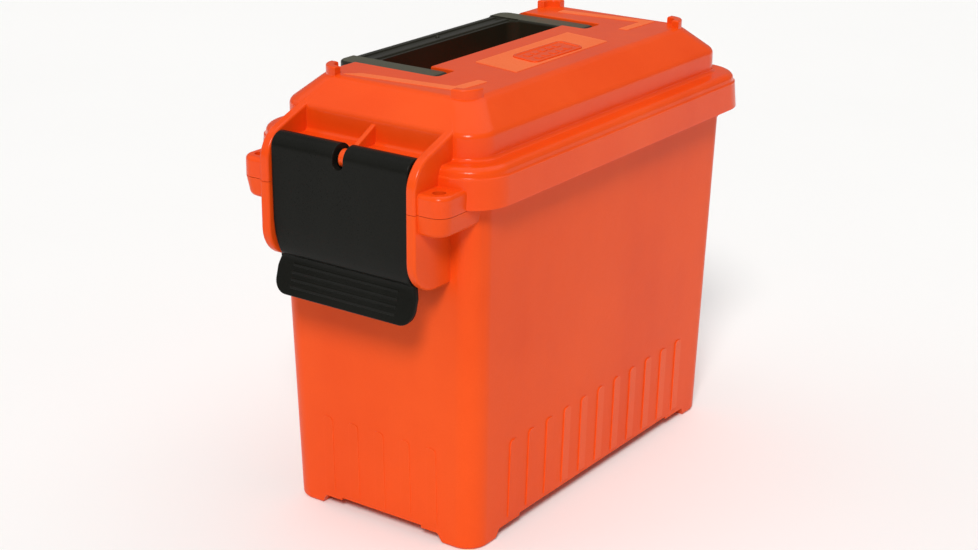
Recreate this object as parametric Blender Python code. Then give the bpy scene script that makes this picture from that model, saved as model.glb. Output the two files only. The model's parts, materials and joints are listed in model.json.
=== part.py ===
"""Tall moulded utility box with a hinged lid, a front latch and a folding bail handle.

Metres, +Z up. X is the width, +Y the length; the latch faces -Y and the hinge +Y.
Every y value is measured from the middle of the tub. The root empty then moves the
whole box so that its outer box is centred on the origin.
"""

import math

import bmesh
import bpy
from mathutils import Matrix, Vector

MM = 0.001

# Clearances
FIT_GAP = 0.3 * MM  # between faces that touch
PIN_GAP = 0.3 * MM  # round a pin or a trunnion
SWING_GAP = 0.6 * MM  # beside a piece that swings

# Tub
BASE_HALF_WIDTH = 54.1 * MM
BASE_HALF_LENGTH = 106.5 * MM
DRAFT = 0.026  # outward lean of every tub wall
TUB_CORNER = 11.0 * MM
TUB_BOTTOM_EDGE = 1.6 * MM  # bevel round the feet
TUB_WALL = 3.0 * MM
TUB_FLOOR = 3.2 * MM
TUB_FLOOR_FILLET = 2.0 * MM
FOOT_HEIGHT = 6.3 * MM
FOOT_SIDE = 17.5 * MM
FOOT_SLANT = 3.0 * MM
RIB_START = 2.0 * MM  # above the feet
SPLIT_HEIGHT = 170.0 * MM  # where the lid's rim ends
LIP_RISE = 7.5 * MM  # tub lip above the split
COLLAR_REACH = 4.6 * MM
COLLAR_BOTTOM = 1.2 * MM  # above the split
COLLAR_THICKNESS = 2.8 * MM
RIB_PITCH = 15.3 * MM
RIB_WIDTH = 7.6 * MM
RIB_PROUD = 0.7 * MM
RIB_TOP = 50.0 * MM
LONG_RIBS = 11
SHORT_RIBS = 5

# Lid
RIM_OVERHANG = 9.0 * MM  # rim beyond the tub wall
RIM_CORNER = 20.4 * MM
RIM_HEIGHT = 18.2 * MM
RIM_SKIRT = 3.2 * MM
RIM_ROUND = 4.6 * MM  # softened edge round the rim's top
CHANNEL_STEP = 0.4 * MM  # hollow behind the skirt, inside its face
CHANNEL_WIDTH = 2.6 * MM
DOME_INSET = 11.4 * MM  # dome wall inside the rim's edge
DOME_CORNER = 12.0 * MM
DOME_FOOT = 0.9 * MM  # fillet where the dome meets the rim
DOME_SHOULDER = 29.6 * MM  # above the split
DOME_TOP = 42.0 * MM  # above the split
DOME_SLOPE_RUN = 13.3 * MM
TOP_ROUND = 3.6 * MM  # how far the edge round the top is softened
TOP_CORNER = 9.0 * MM
LID_WALL = 3.0 * MM
LUG_RADIUS = 10.4 * MM
LUG_THICKNESS = 4.4 * MM
LUG_RISE = 3.5 * MM
LUG_ROOT = 4.5 * MM  # into the dome's wall
LABEL_WIDTH = 17.0 * MM
LABEL_LENGTH = 44.0 * MM
LABEL_PROUD = 0.8 * MM
LABEL_X = 20.5 * MM
LABEL_SLANT = 4.0 * MM

# Seal
SEAL_SECTION = 3.2 * MM
SEAL_STAND = 0.2 * MM  # how far it stands below its groove

# Handle
HANDLE_HALF_LENGTH = 69.0 * MM
HANDLE_REACH = 54.0 * MM  # pivot to the grip's outer face
ARM_WIDTH = 13.0 * MM
GRIP_WIDTH = 14.5 * MM
HANDLE_DEPTH = 20.0 * MM
HANDLE_TOP_DROP = 1.0 * MM  # below the dome's top
HANDLE_CORNER = 6.0 * MM
HANDLE_WALL = 3.0 * MM
EYE_RADIUS = 5.5 * MM
EYE_UNDER = 0.05 * MM  # the eye stays this much under the arm's top, clear of its face
TRUNNION_RADIUS = 3.0 * MM
TRUNNION_LENGTH = 2.6 * MM
POCKET_DEPTH = 28.0 * MM  # below the dome's top
POCKET_EDGE_X = -8.0 * MM
POCKET_UNDER_GRIP = 4.0 * MM  # how far the pocket runs under the grip
POCKET_UNDER_ARM = 2.0 * MM
ARM_TAPER_START = 10.0 * MM  # from the pivot
ARM_TAPER_END = 26.0 * MM
RECESS_WALL = 2.6 * MM

# Latch and its flanges
FLANGE_INNER = 38.5 * MM
FLANGE_THICKNESS = 5.0 * MM
BARREL_GAP = 0.9 * MM  # between the latch's barrel and the rim
FLANGE_BOTTOM = 37.4 * MM  # below the split
FLANGE_STRAIGHT = 15.0 * MM  # upright front edge below the split
FLANGE_LEAN = 3.5 * MM  # lower front edge slants back by this
FLANGE_LOW_CURL = 11.0 * MM
FLANGE_TOP_CURL = 9.0 * MM
FLANGE_CURL_RISE = 13.8 * MM  # centre of the upper curl above the split
FLANGE_TOP_STEP = 0.4 * MM  # top edge above the dome's shoulder
ROOT = 1.5 * MM  # how far an added plate runs into its wall
LATCH_AXIS_RISE = 16.0 * MM  # above the split
LATCH_BARREL = 6.5 * MM
LATCH_THICKNESS = 3.0 * MM
LATCH_RECESS = 2.0 * MM  # plate behind the flanges' front edges
LATCH_DROP = 52.7 * MM  # split to the finger lip's edge
LATCH_TRUNNION = 2.2 * MM
LATCH_TRUNNION_LENGTH = 2.7 * MM
LIP_HEIGHT = 13.0 * MM  # finger lip, from its edge to its neck
LIP_WIDER = 1.2 * MM  # finger lip beyond the plate, each side
LIP_CORNER = 8.0 * MM
PLATE_STRAIGHT = 36.0 * MM  # axis to where the plate starts to bow in
PLATE_BOW_END = 50.0 * MM  # axis to the neck above the finger lip
PLATE_BOW = 4.2 * MM  # how far it bows in
NOTCH_DROP = 3.5 * MM  # below the axis
NOTCH_HALF = 3.2 * MM
STAY_HALF = 1.3 * MM
STAY_RING = 4.2 * MM
CATCH_INSET = 4.5 * MM  # ends inside the flanges
CATCH_DROP = 22.0 * MM  # split to the catch shelf's middle
CATCH_THICKNESS = 4.0 * MM
GUSSET_DROP = 14.0 * MM
GUSSET_FOOT = 3.0 * MM
GUSSET_INSET = 4.0 * MM  # behind the shelf's front edge
GUSSET_THICKNESS = 2.5 * MM
HOOK_REACH = 7.5 * MM  # plate's face to the hook's tip
HOOK_HEIGHT = 4.2 * MM

# Ears for a padlock
EAR_REACH_X = 57.0 * MM
EAR_BACK = 1.8 * MM  # behind the flanges' front edges
EAR_HEIGHT = 9.3 * MM
EAR_CORNER = 7.0 * MM
EAR_HOLE = 3.0 * MM
EAR_HOLE_X = 50.0 * MM
EAR_TAPER = 5.0 * MM  # narrower at the wall

# Hinge
HINGE_DROP = 3.5 * MM  # axis below the split
HINGE_STANDOFF = 6.2 * MM  # axis behind the rim
KNUCKLE_RADIUS = 5.0 * MM
HINGE_X = 32.0 * MM
LID_KNUCKLE = 14.0 * MM
TUB_KNUCKLE = 9.0 * MM
HINGE_PIN_RADIUS = 2.0 * MM
HINGE_HEAD_RADIUS = 3.4 * MM
HINGE_HEAD = 1.4 * MM
BRACKET_DROP = 12.0 * MM  # tub bracket below its knuckle
BRACKET_RISE = 10.0 * MM  # lid bracket above its knuckle

# Fineness of the arcs
ARC_STEPS = 7
KNUCKLE_STEPS = 24
BARREL_STEPS = 22
LUG_STEPS = 10
ROD_SIDES = 28

# Worked out from the sizes above
LIP_TOP = SPLIT_HEIGHT + LIP_RISE
TOP_Z = SPLIT_HEIGHT + DOME_TOP
RIM_HALF_X = BASE_HALF_WIDTH + DRAFT * SPLIT_HEIGHT + RIM_OVERHANG
RIM_HALF_Y = BASE_HALF_LENGTH + DRAFT * SPLIT_HEIGHT + RIM_OVERHANG
DOME_HALF_X = RIM_HALF_X - DOME_INSET
DOME_HALF_Y = RIM_HALF_Y - DOME_INSET
FLANGE_FRONT = -(RIM_HALF_Y + BARREL_GAP + 2 * LATCH_BARREL + LATCH_RECESS)
CATCH_HALF = FLANGE_INNER - CATCH_INSET
PLATE_FRONT = FLANGE_FRONT + LATCH_RECESS
LATCH_AXIS = Vector((0, PLATE_FRONT + LATCH_BARREL, SPLIT_HEIGHT + LATCH_AXIS_RISE))
HINGE_AXIS = Vector((0, RIM_HALF_Y + HINGE_STANDOFF, SPLIT_HEIGHT - HINGE_DROP))
HANDLE_TOP = TOP_Z - HANDLE_TOP_DROP
HANDLE_AXIS = Vector((0, 0, HANDLE_TOP - EYE_RADIUS))
RECESS_FLOOR = HANDLE_TOP - HANDLE_DEPTH - SWING_GAP
SEAL_GROOVE_HALF = SEAL_SECTION / 2 + FIT_GAP
SEAL_FLOOR = LIP_TOP + FIT_GAP + SEAL_STAND  # underside of the lid inside the skirt
CATCH_Z = SPLIT_HEIGHT - CATCH_DROP
HOOK_FRONT = PLATE_FRONT + HOOK_REACH
REAR_REACH = HINGE_AXIS.y + KNUCKLE_RADIUS
CENTRE_Y = (-FLANGE_FRONT - REAR_REACH) / 2


def clear_scene():
    for old in list(bpy.data.objects):
        bpy.data.objects.remove(old, do_unlink=True)


def new_collection(name):
    made = bpy.data.collections.new(name)
    bpy.context.scene.collection.children.link(made)
    return made


def material(name, colour, roughness, metallic=0.0):
    made = bpy.data.materials.new(name)
    made.use_nodes = True
    shader = made.node_tree.nodes["Principled BSDF"]
    shader.inputs["Base Color"].default_value = (*colour, 1.0)
    shader.inputs["Roughness"].default_value = roughness
    shader.inputs["Metallic"].default_value = metallic
    made.diffuse_color = (*colour, 1.0)
    return made


def add_object(name, mesh, collection, root):
    made = bpy.data.objects.new(name, mesh)
    collection.objects.link(made)
    made.parent = root
    return made


def mesh_from(name, maker):
    """A mesh that maker fills through a bmesh, with its normals facing out."""
    data = bmesh.new()
    maker(data)
    bmesh.ops.recalc_face_normals(data, faces=data.faces)
    mesh = bpy.data.meshes.new(name)
    data.to_mesh(mesh)
    data.free()
    return mesh


def ring(half_x, half_y, radius, z):
    """Points of a rounded rectangle round the Z axis, from the +X side."""
    points = []
    corners = ((1, -1, -90), (1, 1, 0), (-1, 1, 90), (-1, -1, 180))
    for side_x, side_y, start in corners:
        for step in range(ARC_STEPS + 1):
            angle = math.radians(start + 90 * step / ARC_STEPS)
            x = side_x * (half_x - radius) + radius * math.cos(angle)
            y = side_y * (half_y - radius) + radius * math.sin(angle)
            points.append((x, y, z))
    return points


def lofted(name, sections):
    """A closed solid through rounded rectangles given as (half_x, half_y, radius, z)."""

    def fill(data):
        rings = [[data.verts.new(p) for p in ring(*section)] for section in sections]
        count = len(rings[0])
        for lower, upper in zip(rings, rings[1:]):
            for i in range(count):
                j = (i + 1) % count
                data.faces.new((lower[i], lower[j], upper[j], upper[i]))
        data.faces.new(rings[0][::-1])
        data.faces.new(rings[-1])

    return mesh_from(name, fill)


def block(name, low, high):
    def fill(data):
        bmesh.ops.create_cube(data, size=1)
        size = Vector(high) - Vector(low)
        middle = (Vector(high) + Vector(low)) / 2
        bmesh.ops.transform(
            data, matrix=Matrix.Translation(middle) @ Matrix.Diagonal((*size, 1)), verts=data.verts
        )

    return mesh_from(name, fill)


def rod(name, radius, start, end):
    """A cylinder between two points."""

    def fill(data):
        along = Vector(end) - Vector(start)
        turn = Vector((0, 0, 1)).rotation_difference(along).to_matrix().to_4x4()
        place = Matrix.Translation((Vector(start) + Vector(end)) / 2) @ turn
        bmesh.ops.create_cone(
            data,
            cap_ends=True,
            segments=ROD_SIDES,
            radius1=radius,
            radius2=radius,
            depth=along.length,
            matrix=place,
        )

    return mesh_from(name, fill)


SIDE_VIEW = Matrix(((0, 0, 1, 0), (1, 0, 0, 0), (0, 1, 0, 0), (0, 0, 0, 1)))  # outline in Y, Z
FRONT_VIEW = Matrix(((1, 0, 0, 0), (0, 0, -1, 0), (0, 1, 0, 0), (0, 0, 0, 1)))  # outline in X, Z
TOP_VIEW = Matrix.Identity(4)  # outline in X, Y


def plate(name, outline, view, middle, thickness, hole=()):
    """A flat outline given a thickness, centred at middle along the view's own depth."""
    curve = bpy.data.curves.new(name, "CURVE")
    curve.dimensions = "2D"
    curve.fill_mode = "BOTH"
    curve.extrude = thickness / 2
    for loop in (outline, hole) if hole else (outline,):
        spline = curve.splines.new("POLY")
        spline.points.add(len(loop) - 1)
        for point, (u, v) in zip(spline.points, loop):
            point.co = (u, v, 0, 1)
        spline.use_cyclic_u = True
    helper = bpy.data.objects.new(name, curve)
    flat = bpy.data.meshes.new_from_object(helper)
    bpy.data.objects.remove(helper)

    def fill(data):
        data.from_mesh(flat)
        bmesh.ops.remove_doubles(data, verts=data.verts, dist=1e-6)
        place = view @ Matrix.Translation((0, 0, middle))
        bmesh.ops.transform(data, matrix=place, verts=data.verts)

    return mesh_from(name, fill)


def arc(centre, radius, start, end, steps=ARC_STEPS):
    """Outline points on an arc, angles in degrees."""
    points = []
    for step in range(steps + 1):
        angle = math.radians(start + (end - start) * step / steps)
        points.append((centre[0] + radius * math.cos(angle), centre[1] + radius * math.sin(angle)))
    return points


def mirrored(outline):
    """The same outline on the other side of its first coordinate."""
    return [(-u, v) for u, v in reversed(outline)]


class Builder:
    """Adds and cuts with Boolean modifiers, keeping the cutters in their own collection."""

    def __init__(self, parts, cutters, root):
        self.parts = parts
        self.cutters = cutters
        self.root = root

    def part(self, name, mesh, finish):
        made = add_object(name, mesh, self.parts, self.root)
        made.data.materials.append(finish)
        return made

    def helper(self, mesh):
        made = add_object(mesh.name, mesh, self.cutters, self.root)
        made.hide_render = True
        made.display_type = "WIRE"
        return made

    def combine(self, target, helper, operation):
        modifier = target.modifiers.new(helper.name, "BOOLEAN")
        modifier.operation = operation
        modifier.solver = "EXACT"
        modifier.object = helper

    def add(self, target, mesh):
        self.combine(target, self.helper(mesh), "UNION")

    def cut(self, target, mesh):
        self.combine(target, self.helper(mesh), "DIFFERENCE")

    def keep(self, target, mesh):
        self.combine(target, self.helper(mesh), "INTERSECT")


def tub_half(z, base):
    return base + DRAFT * z


def tub_section(z, inset=0.0):
    return (
        tub_half(z, BASE_HALF_WIDTH) - inset,
        tub_half(z, BASE_HALF_LENGTH) - inset,
        TUB_CORNER - inset * 0.8,
        z,
    )


def rib_mesh(name, side, index):
    """One flat rib on a wall, leaning with the draft. side is a unit vector out of the wall."""
    depth = 2 * RIB_PROUD
    bottom = FOOT_HEIGHT + RIB_START
    height = RIB_TOP - bottom
    base = BASE_HALF_WIDTH if side.x else BASE_HALF_LENGTH
    across = Vector((-side.y, side.x, 0))

    def fill(data):
        bmesh.ops.create_cube(data, size=1)
        scale = Matrix.Diagonal((depth, RIB_WIDTH, height, 1))
        lean = Matrix.Rotation(math.atan(DRAFT), 4, "Y")
        turn = Matrix.Rotation(math.atan2(side.y, side.x), 4, "Z")
        middle_z = bottom + height / 2
        place = side * tub_half(middle_z, base) + across * index * RIB_PITCH
        place.z = middle_z
        bmesh.ops.transform(
            data, matrix=Matrix.Translation(place) @ turn @ lean @ scale, verts=data.verts
        )

    return mesh_from(name, fill)


def add_ribs(build, tub):
    sides = (
        ("right", Vector((1, 0, 0)), LONG_RIBS),
        ("left", Vector((-1, 0, 0)), LONG_RIBS),
        ("front", Vector((0, -1, 0)), SHORT_RIBS),
        ("rear", Vector((0, 1, 0)), SHORT_RIBS),
    )
    for word, side, count in sides:
        for number in range(count):
            build.add(tub, rib_mesh(f"rib_{word}_{number}", side, number - (count - 1) / 2))


def cut_feet(build, tub):
    """Two slanted channels under the floor leave a foot at each corner."""
    for word, view, base, length in (
        ("length", FRONT_VIEW, BASE_HALF_WIDTH, BASE_HALF_LENGTH),
        ("width", SIDE_VIEW, BASE_HALF_LENGTH, BASE_HALF_WIDTH),
    ):
        low = base - FOOT_SIDE
        high = low - FOOT_SLANT
        below = -FOOT_HEIGHT / 4
        outline = [(-low, below), (low, below), (high, FOOT_HEIGHT), (-high, FOOT_HEIGHT)]
        build.cut(tub, plate(f"foot_gap_{word}", outline, view, 0, 3 * length))


def flange_lower_outline():
    front = FLANGE_FRONT
    split = SPLIT_HEIGHT - FIT_GAP / 2
    low = SPLIT_HEIGHT - FLANGE_BOTTOM
    back = -(BASE_HALF_LENGTH - ROOT)
    curl = FLANGE_LOW_CURL
    corner = arc((front + FLANGE_LEAN + curl, low + curl), curl, 180, 270)
    upright_end = (front, split - FLANGE_STRAIGHT)
    return [(back, split), (front, split), upright_end] + corner + [(back, low)]


def flange_upper_outline():
    front = FLANGE_FRONT
    split = SPLIT_HEIGHT + FIT_GAP / 2
    curl = FLANGE_TOP_CURL
    back = -(DOME_HALF_Y - ROOT)
    shoulder = SPLIT_HEIGHT + DOME_SHOULDER + FLANGE_TOP_STEP
    corner = arc((front + curl, SPLIT_HEIGHT + FLANGE_CURL_RISE), curl, 180, 112)
    return [(back, split), (front, split)] + corner + [(-DOME_HALF_Y, shoulder), (back, shoulder)]


def ear_outline(side):
    front = FLANGE_FRONT + EAR_BACK
    back = -(BASE_HALF_LENGTH - ROOT)
    inner = FLANGE_INNER + FLANGE_THICKNESS / 2
    centre = (EAR_REACH_X - EAR_CORNER, front + EAR_CORNER)
    outline = [(inner, back), (inner, front)] + arc(centre, EAR_CORNER, -90, 0)
    outline += [(EAR_REACH_X, -RIM_HALF_Y + EAR_CORNER), (EAR_REACH_X - EAR_TAPER, back)]
    return outline if side > 0 else mirrored(outline)


def add_flanges_and_ears(build, target, outline, bottom, top):
    for word, side in (("left", -1), ("right", 1)):
        middle = side * (FLANGE_INNER + FLANGE_THICKNESS / 2)
        name = f"{target.name}_flange_{word}"
        build.add(target, plate(name, outline, SIDE_VIEW, middle, FLANGE_THICKNESS))
        name = f"{target.name}_ear_{word}"
        ear = plate(name, ear_outline(side), TOP_VIEW, (bottom + top) / 2, top - bottom)
        build.add(target, ear)


def cut_padlock_holes(build, target):
    y = FLANGE_FRONT + EAR_BACK + EAR_CORNER
    for word, side in (("left", -1), ("right", 1)):
        x = side * EAR_HOLE_X
        low = SPLIT_HEIGHT - 2 * EAR_HEIGHT
        high = SPLIT_HEIGHT + 2 * EAR_HEIGHT
        hole = rod(f"{target.name}_hole_{word}", EAR_HOLE, (x, y, low), (x, y, high))
        build.cut(target, hole)


def add_catch(build, tub):
    """The shelf that the latch's hook closes against, and its gussets."""
    front = HOOK_FRONT + FIT_GAP
    back = -(BASE_HALF_LENGTH - ROOT)
    low = CATCH_Z - CATCH_THICKNESS / 2
    high = CATCH_Z + CATCH_THICKNESS / 2
    build.add(tub, block("catch_shelf", (-CATCH_HALF, front, low), (CATCH_HALF, back, high)))
    foot = low - GUSSET_DROP
    gusset = [(back, CATCH_Z), (front + GUSSET_INSET, CATCH_Z)]
    gusset += [(back - GUSSET_FOOT, foot), (back, foot)]
    for number in (-1, 0, 1):
        middle = number * CATCH_HALF * 2 / 3
        name = f"catch_gusset_{number + 1}"
        build.add(tub, plate(name, gusset, SIDE_VIEW, middle, GUSSET_THICKNESS))


def tub_hinge_outline():
    """Bracket under the rim, running into the knuckle round the hinge axis."""
    top = SPLIT_HEIGHT - FIT_GAP
    wall = BASE_HALF_LENGTH + ROOT
    y, z = HINGE_AXIS.y, HINGE_AXIS.z
    meets = 180 - math.degrees(math.asin((top - z) / KNUCKLE_RADIUS))
    knuckle = arc((y, z), KNUCKLE_RADIUS, -90, meets, KNUCKLE_STEPS)
    return [(wall, z - KNUCKLE_RADIUS - BRACKET_DROP)] + knuckle + [(wall, top)]


def lid_hinge_outline():
    """The same from the rim's side."""
    low = SPLIT_HEIGHT + FIT_GAP
    y, z = HINGE_AXIS.y, HINGE_AXIS.z
    start = RIM_HALF_Y - RIM_SKIRT / 2
    meets = 180 - math.degrees(math.asin((low - z) / KNUCKLE_RADIUS))
    knuckle = arc((y, z), KNUCKLE_RADIUS, meets, 450, KNUCKLE_STEPS)
    return [(start, low)] + knuckle + [(start, low + BRACKET_RISE)]


def hinge_bore():
    """Outline of the hole for the pin."""
    return arc((HINGE_AXIS.y, HINGE_AXIS.z), HINGE_PIN_RADIUS + PIN_GAP, 0, 360, ROD_SIDES)[:-1]


def add_tub_hinge(build, tub):
    offset = LID_KNUCKLE / 2 + FIT_GAP + TUB_KNUCKLE / 2
    outline = tub_hinge_outline()
    for side in (-1, 1):
        for end in (-1, 1):
            middle = side * HINGE_X + end * offset
            name = f"tub_hinge_{side}_{end}"
            build.add(tub, plate(name, outline, SIDE_VIEW, middle, TUB_KNUCKLE, hinge_bore()))


def add_lid_hinge(build, lid):
    outline = lid_hinge_outline()
    for side in (-1, 1):
        name = f"lid_hinge_{side}"
        middle = side * HINGE_X
        build.add(lid, plate(name, outline, SIDE_VIEW, middle, LID_KNUCKLE, hinge_bore()))


def make_tub(build, finish):
    edge = TUB_BOTTOM_EDGE
    sections = [tub_section(0, edge), tub_section(edge), tub_section(LIP_TOP)]
    tub = build.part("body_tub", lofted("body_tub", sections), finish)
    collar_low = SPLIT_HEIGHT + COLLAR_BOTTOM
    half_x, half_y, radius, _ = tub_section(collar_low, -COLLAR_REACH)
    collar_heights = (collar_low, collar_low + COLLAR_THICKNESS)
    collar = [(half_x, half_y, radius, z) for z in collar_heights]
    build.add(tub, lofted("tub_collar", collar))
    split = SPLIT_HEIGHT - FIT_GAP / 2
    add_flanges_and_ears(build, tub, flange_lower_outline(), split - EAR_HEIGHT, split)
    add_catch(build, tub)
    add_ribs(build, tub)
    add_tub_hinge(build, tub)
    cut_feet(build, tub)
    cut_padlock_holes(build, tub)
    floor = FOOT_HEIGHT + TUB_FLOOR
    inside = [
        tub_section(floor, TUB_WALL + TUB_FLOOR_FILLET),
        tub_section(floor + TUB_FLOOR_FILLET, TUB_WALL),
        tub_section(LIP_TOP + TUB_WALL, TUB_WALL),
    ]
    build.cut(tub, lofted("tub_inside", inside))
    return tub


def lid_outer_sections():
    rim_top = SPLIT_HEIGHT + RIM_HEIGHT
    shoulder = SPLIT_HEIGHT + DOME_SHOULDER
    foot = DOME_FOOT
    # inset and drop from the rim's top, as shares of its rounding
    steps = [(0.2, 1.0), (0.33, 0.87), (0.37, 0.52), (0.61, 0.15), (1.0, 0.0)]
    steps = [(a * RIM_ROUND, rim_top - b * RIM_ROUND) for a, b in steps]
    steps.insert(0, (0, SPLIT_HEIGHT + FIT_GAP / 2))
    sections = [(RIM_HALF_X - d, RIM_HALF_Y - d, RIM_CORNER - d, z) for d, z in steps]
    sections.append((DOME_HALF_X + foot, DOME_HALF_Y + foot, DOME_CORNER + foot, rim_top))
    sections.append((DOME_HALF_X, DOME_HALF_Y, DOME_CORNER, rim_top + foot))
    sections.append((DOME_HALF_X, DOME_HALF_Y, DOME_CORNER, shoulder))
    run = DOME_SLOPE_RUN
    rise = TOP_Z - shoulder
    before = run - 0.8 * TOP_ROUND
    soft = [(before, rise * before / run), (run, rise - 0.18 * TOP_ROUND), (run + TOP_ROUND, rise)]
    for inset, height in soft:
        corner = DOME_CORNER + (TOP_CORNER - DOME_CORNER) * inset / run
        sections.append((DOME_HALF_X - inset, DOME_HALF_Y - inset, corner, shoulder + height))
    return sections


def lid_inner_sections():
    """The space inside the skirt and the dome."""
    skirt_x = RIM_HALF_X - RIM_SKIRT
    skirt_y = RIM_HALF_Y - RIM_SKIRT
    skirt_corner = RIM_CORNER - RIM_SKIRT
    shoulder = SPLIT_HEIGHT + DOME_SHOULDER
    rise = DOME_TOP - DOME_SHOULDER
    wall = LID_WALL
    drop = wall * math.hypot(rise, DOME_SLOPE_RUN) / DOME_SLOPE_RUN
    top_inset = DOME_SLOPE_RUN + (drop - wall) * DOME_SLOPE_RUN / rise
    low_drop = drop - wall * rise / DOME_SLOPE_RUN
    in_x = DOME_HALF_X - wall
    in_y = DOME_HALF_Y - wall
    in_corner = DOME_CORNER - wall
    top_x = DOME_HALF_X - top_inset
    top_y = DOME_HALF_Y - top_inset
    return [
        (skirt_x, skirt_y, skirt_corner, SPLIT_HEIGHT - LID_WALL),
        (skirt_x, skirt_y, skirt_corner, SEAL_FLOOR),
        (in_x, in_y, in_corner, SEAL_FLOOR),
        (in_x, in_y, in_corner, shoulder - low_drop),
        (top_x, top_y, TOP_CORNER - wall, TOP_Z - wall),
    ]


def recess_meshes(tag, grow):
    """The finger pocket and the handle's slots, as solids, grown by a wall if asked."""
    above = TOP_Z + 2 * LUG_RISE
    arm_out = HANDLE_HALF_LENGTH + SWING_GAP + grow
    arm_in = HANDLE_HALF_LENGTH - ARM_WIDTH - SWING_GAP
    grip_in = -(HANDLE_REACH - GRIP_WIDTH) + SWING_GAP
    side = -(RIM_HALF_X + LID_WALL)
    arm_end = EYE_RADIUS + SWING_GAP + grow
    floor = RECESS_FLOOR - grow
    pocket_y = arm_in + POCKET_UNDER_ARM + grow
    pocket_low = (grip_in - POCKET_UNDER_GRIP - grow, -pocket_y, TOP_Z - POCKET_DEPTH - grow)
    pocket_high = (POCKET_EDGE_X + grow, pocket_y, above)
    meshes = [block(tag + "_grip", (side, -arm_out, floor), (grip_in + grow, arm_out, above))]
    for word, end in (("front", -1), ("rear", 1)):
        near = end * (arm_in - grow)
        far = end * arm_out
        low = (side, min(near, far), floor)
        high = (arm_end, max(near, far), above)
        meshes.append(block(f"{tag}_arm_{word}", low, high))
    meshes.append(block(tag + "_pocket", pocket_low, pocket_high))
    return meshes


def seal_ring_sections(extra, low, high):
    """(outer, inner) rings of the band that the seal takes up, widened by extra."""
    middle_x, middle_y, middle_r, _ = tub_section(LIP_TOP, TUB_WALL / 2)
    half = SEAL_SECTION / 2 + extra
    outer = [(middle_x + half, middle_y + half, middle_r + half, z) for z in (low, high)]
    inner = [(middle_x - half, middle_y - half, middle_r - half, z) for z in (low - MM, high + MM)]
    return outer, inner


def cut_seal_groove(build, lid):
    top = SEAL_FLOOR - SEAL_STAND + SEAL_SECTION + FIT_GAP
    outer, inner = seal_ring_sections(FIT_GAP, SEAL_FLOOR - MM, top)
    band = build.helper(lofted("seal_groove", outer))
    build.cut(band, lofted("seal_groove_core", inner))
    build.combine(lid, band, "DIFFERENCE")


def cut_skirt_channel(build, lid):
    """The hollow behind the rim's skirt."""
    skin = RIM_SKIRT + CHANNEL_STEP
    outer_x = RIM_HALF_X - skin
    outer_y = RIM_HALF_Y - skin
    outer_r = RIM_CORNER - skin
    inner_x = outer_x - CHANNEL_WIDTH
    inner_y = outer_y - CHANNEL_WIDTH
    inner_r = outer_r - CHANNEL_WIDTH
    low = SEAL_FLOOR - CHANNEL_WIDTH
    top = SPLIT_HEIGHT + RIM_HEIGHT - LID_WALL - DOME_FOOT
    outer = [(outer_x, outer_y, outer_r, z) for z in (low, top)]
    inner = [(inner_x, inner_y, inner_r, z) for z in (low - MM, top + MM)]
    band = build.helper(lofted("skirt_channel", outer))
    build.cut(band, lofted("skirt_channel_core", inner))
    build.combine(lid, band, "DIFFERENCE")


def add_lugs(build, lid):
    """Raised arcs at the four corners of the dome's top, for stacking."""
    centre_x = DOME_HALF_X - DOME_SLOPE_RUN - TOP_CORNER
    centre_y = DOME_HALF_Y - DOME_SLOPE_RUN - TOP_CORNER
    low = TOP_Z - LUG_ROOT
    high = TOP_Z + LUG_RISE
    for side_x in (-1, 1):
        for side_y in (-1, 1):
            outline = arc((centre_x, centre_y), LUG_RADIUS, -5, 95, LUG_STEPS)
            outline += arc((centre_x, centre_y), LUG_RADIUS - LUG_THICKNESS, 95, -5, LUG_STEPS)
            outline = [(side_x * x, side_y * y) for x, y in outline]
            name = f"lug_{side_x}_{side_y}"
            build.add(lid, plate(name, outline, TOP_VIEW, (low + high) / 2, high - low))


def add_label_plate(build, lid):
    low = TOP_Z - MM
    high = TOP_Z + LABEL_PROUD
    slant = LABEL_SLANT
    half_y = LABEL_LENGTH / 2
    left = LABEL_X - LABEL_WIDTH / 2
    right = LABEL_X + LABEL_WIDTH / 2
    outline = [(left, slant - half_y), (right, -half_y), (right, half_y - slant), (left, half_y)]
    build.add(lid, plate("label_plate", outline, TOP_VIEW, (low + high) / 2, high - low))


def add_latch_stay(build, lid):
    """The middle rib whose eye carries the latch's barrel."""
    y, z = LATCH_AXIS.y, LATCH_AXIS.z
    back = -(DOME_HALF_Y - ROOT)
    shoulder = SPLIT_HEIGHT + DOME_SHOULDER - ROOT
    outline = [(back, shoulder), (-DOME_HALF_Y - MM, shoulder), (y + LATCH_BARREL, z + STAY_RING)]
    outline += [(y, z + STAY_RING), (y, z - STAY_RING), (back, z - STAY_RING)]
    build.add(lid, plate("latch_stay", outline, SIDE_VIEW, 0, 2 * STAY_HALF))
    build.add(lid, rod("latch_stay_eye", STAY_RING, (-STAY_HALF, y, z), (STAY_HALF, y, z)))


def cut_latch_sockets(build, lid):
    y, z = LATCH_AXIS.y, LATCH_AXIS.z
    reach = FLANGE_INNER + LATCH_TRUNNION_LENGTH + FIT_GAP
    bore = rod("latch_sockets", LATCH_TRUNNION + PIN_GAP, (-reach, y, z), (reach, y, z))
    build.cut(lid, bore)


def cut_handle_sockets(build, lid):
    reach = HANDLE_HALF_LENGTH + TRUNNION_LENGTH + FIT_GAP
    for word, side in (("front", -1), ("rear", 1)):
        start = Vector((0, side * (HANDLE_HALF_LENGTH - PIN_GAP), HANDLE_AXIS.z))
        end = Vector((0, side * reach, HANDLE_AXIS.z))
        build.cut(lid, rod(f"handle_socket_{word}", TRUNNION_RADIUS + PIN_GAP, start, end))


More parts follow.
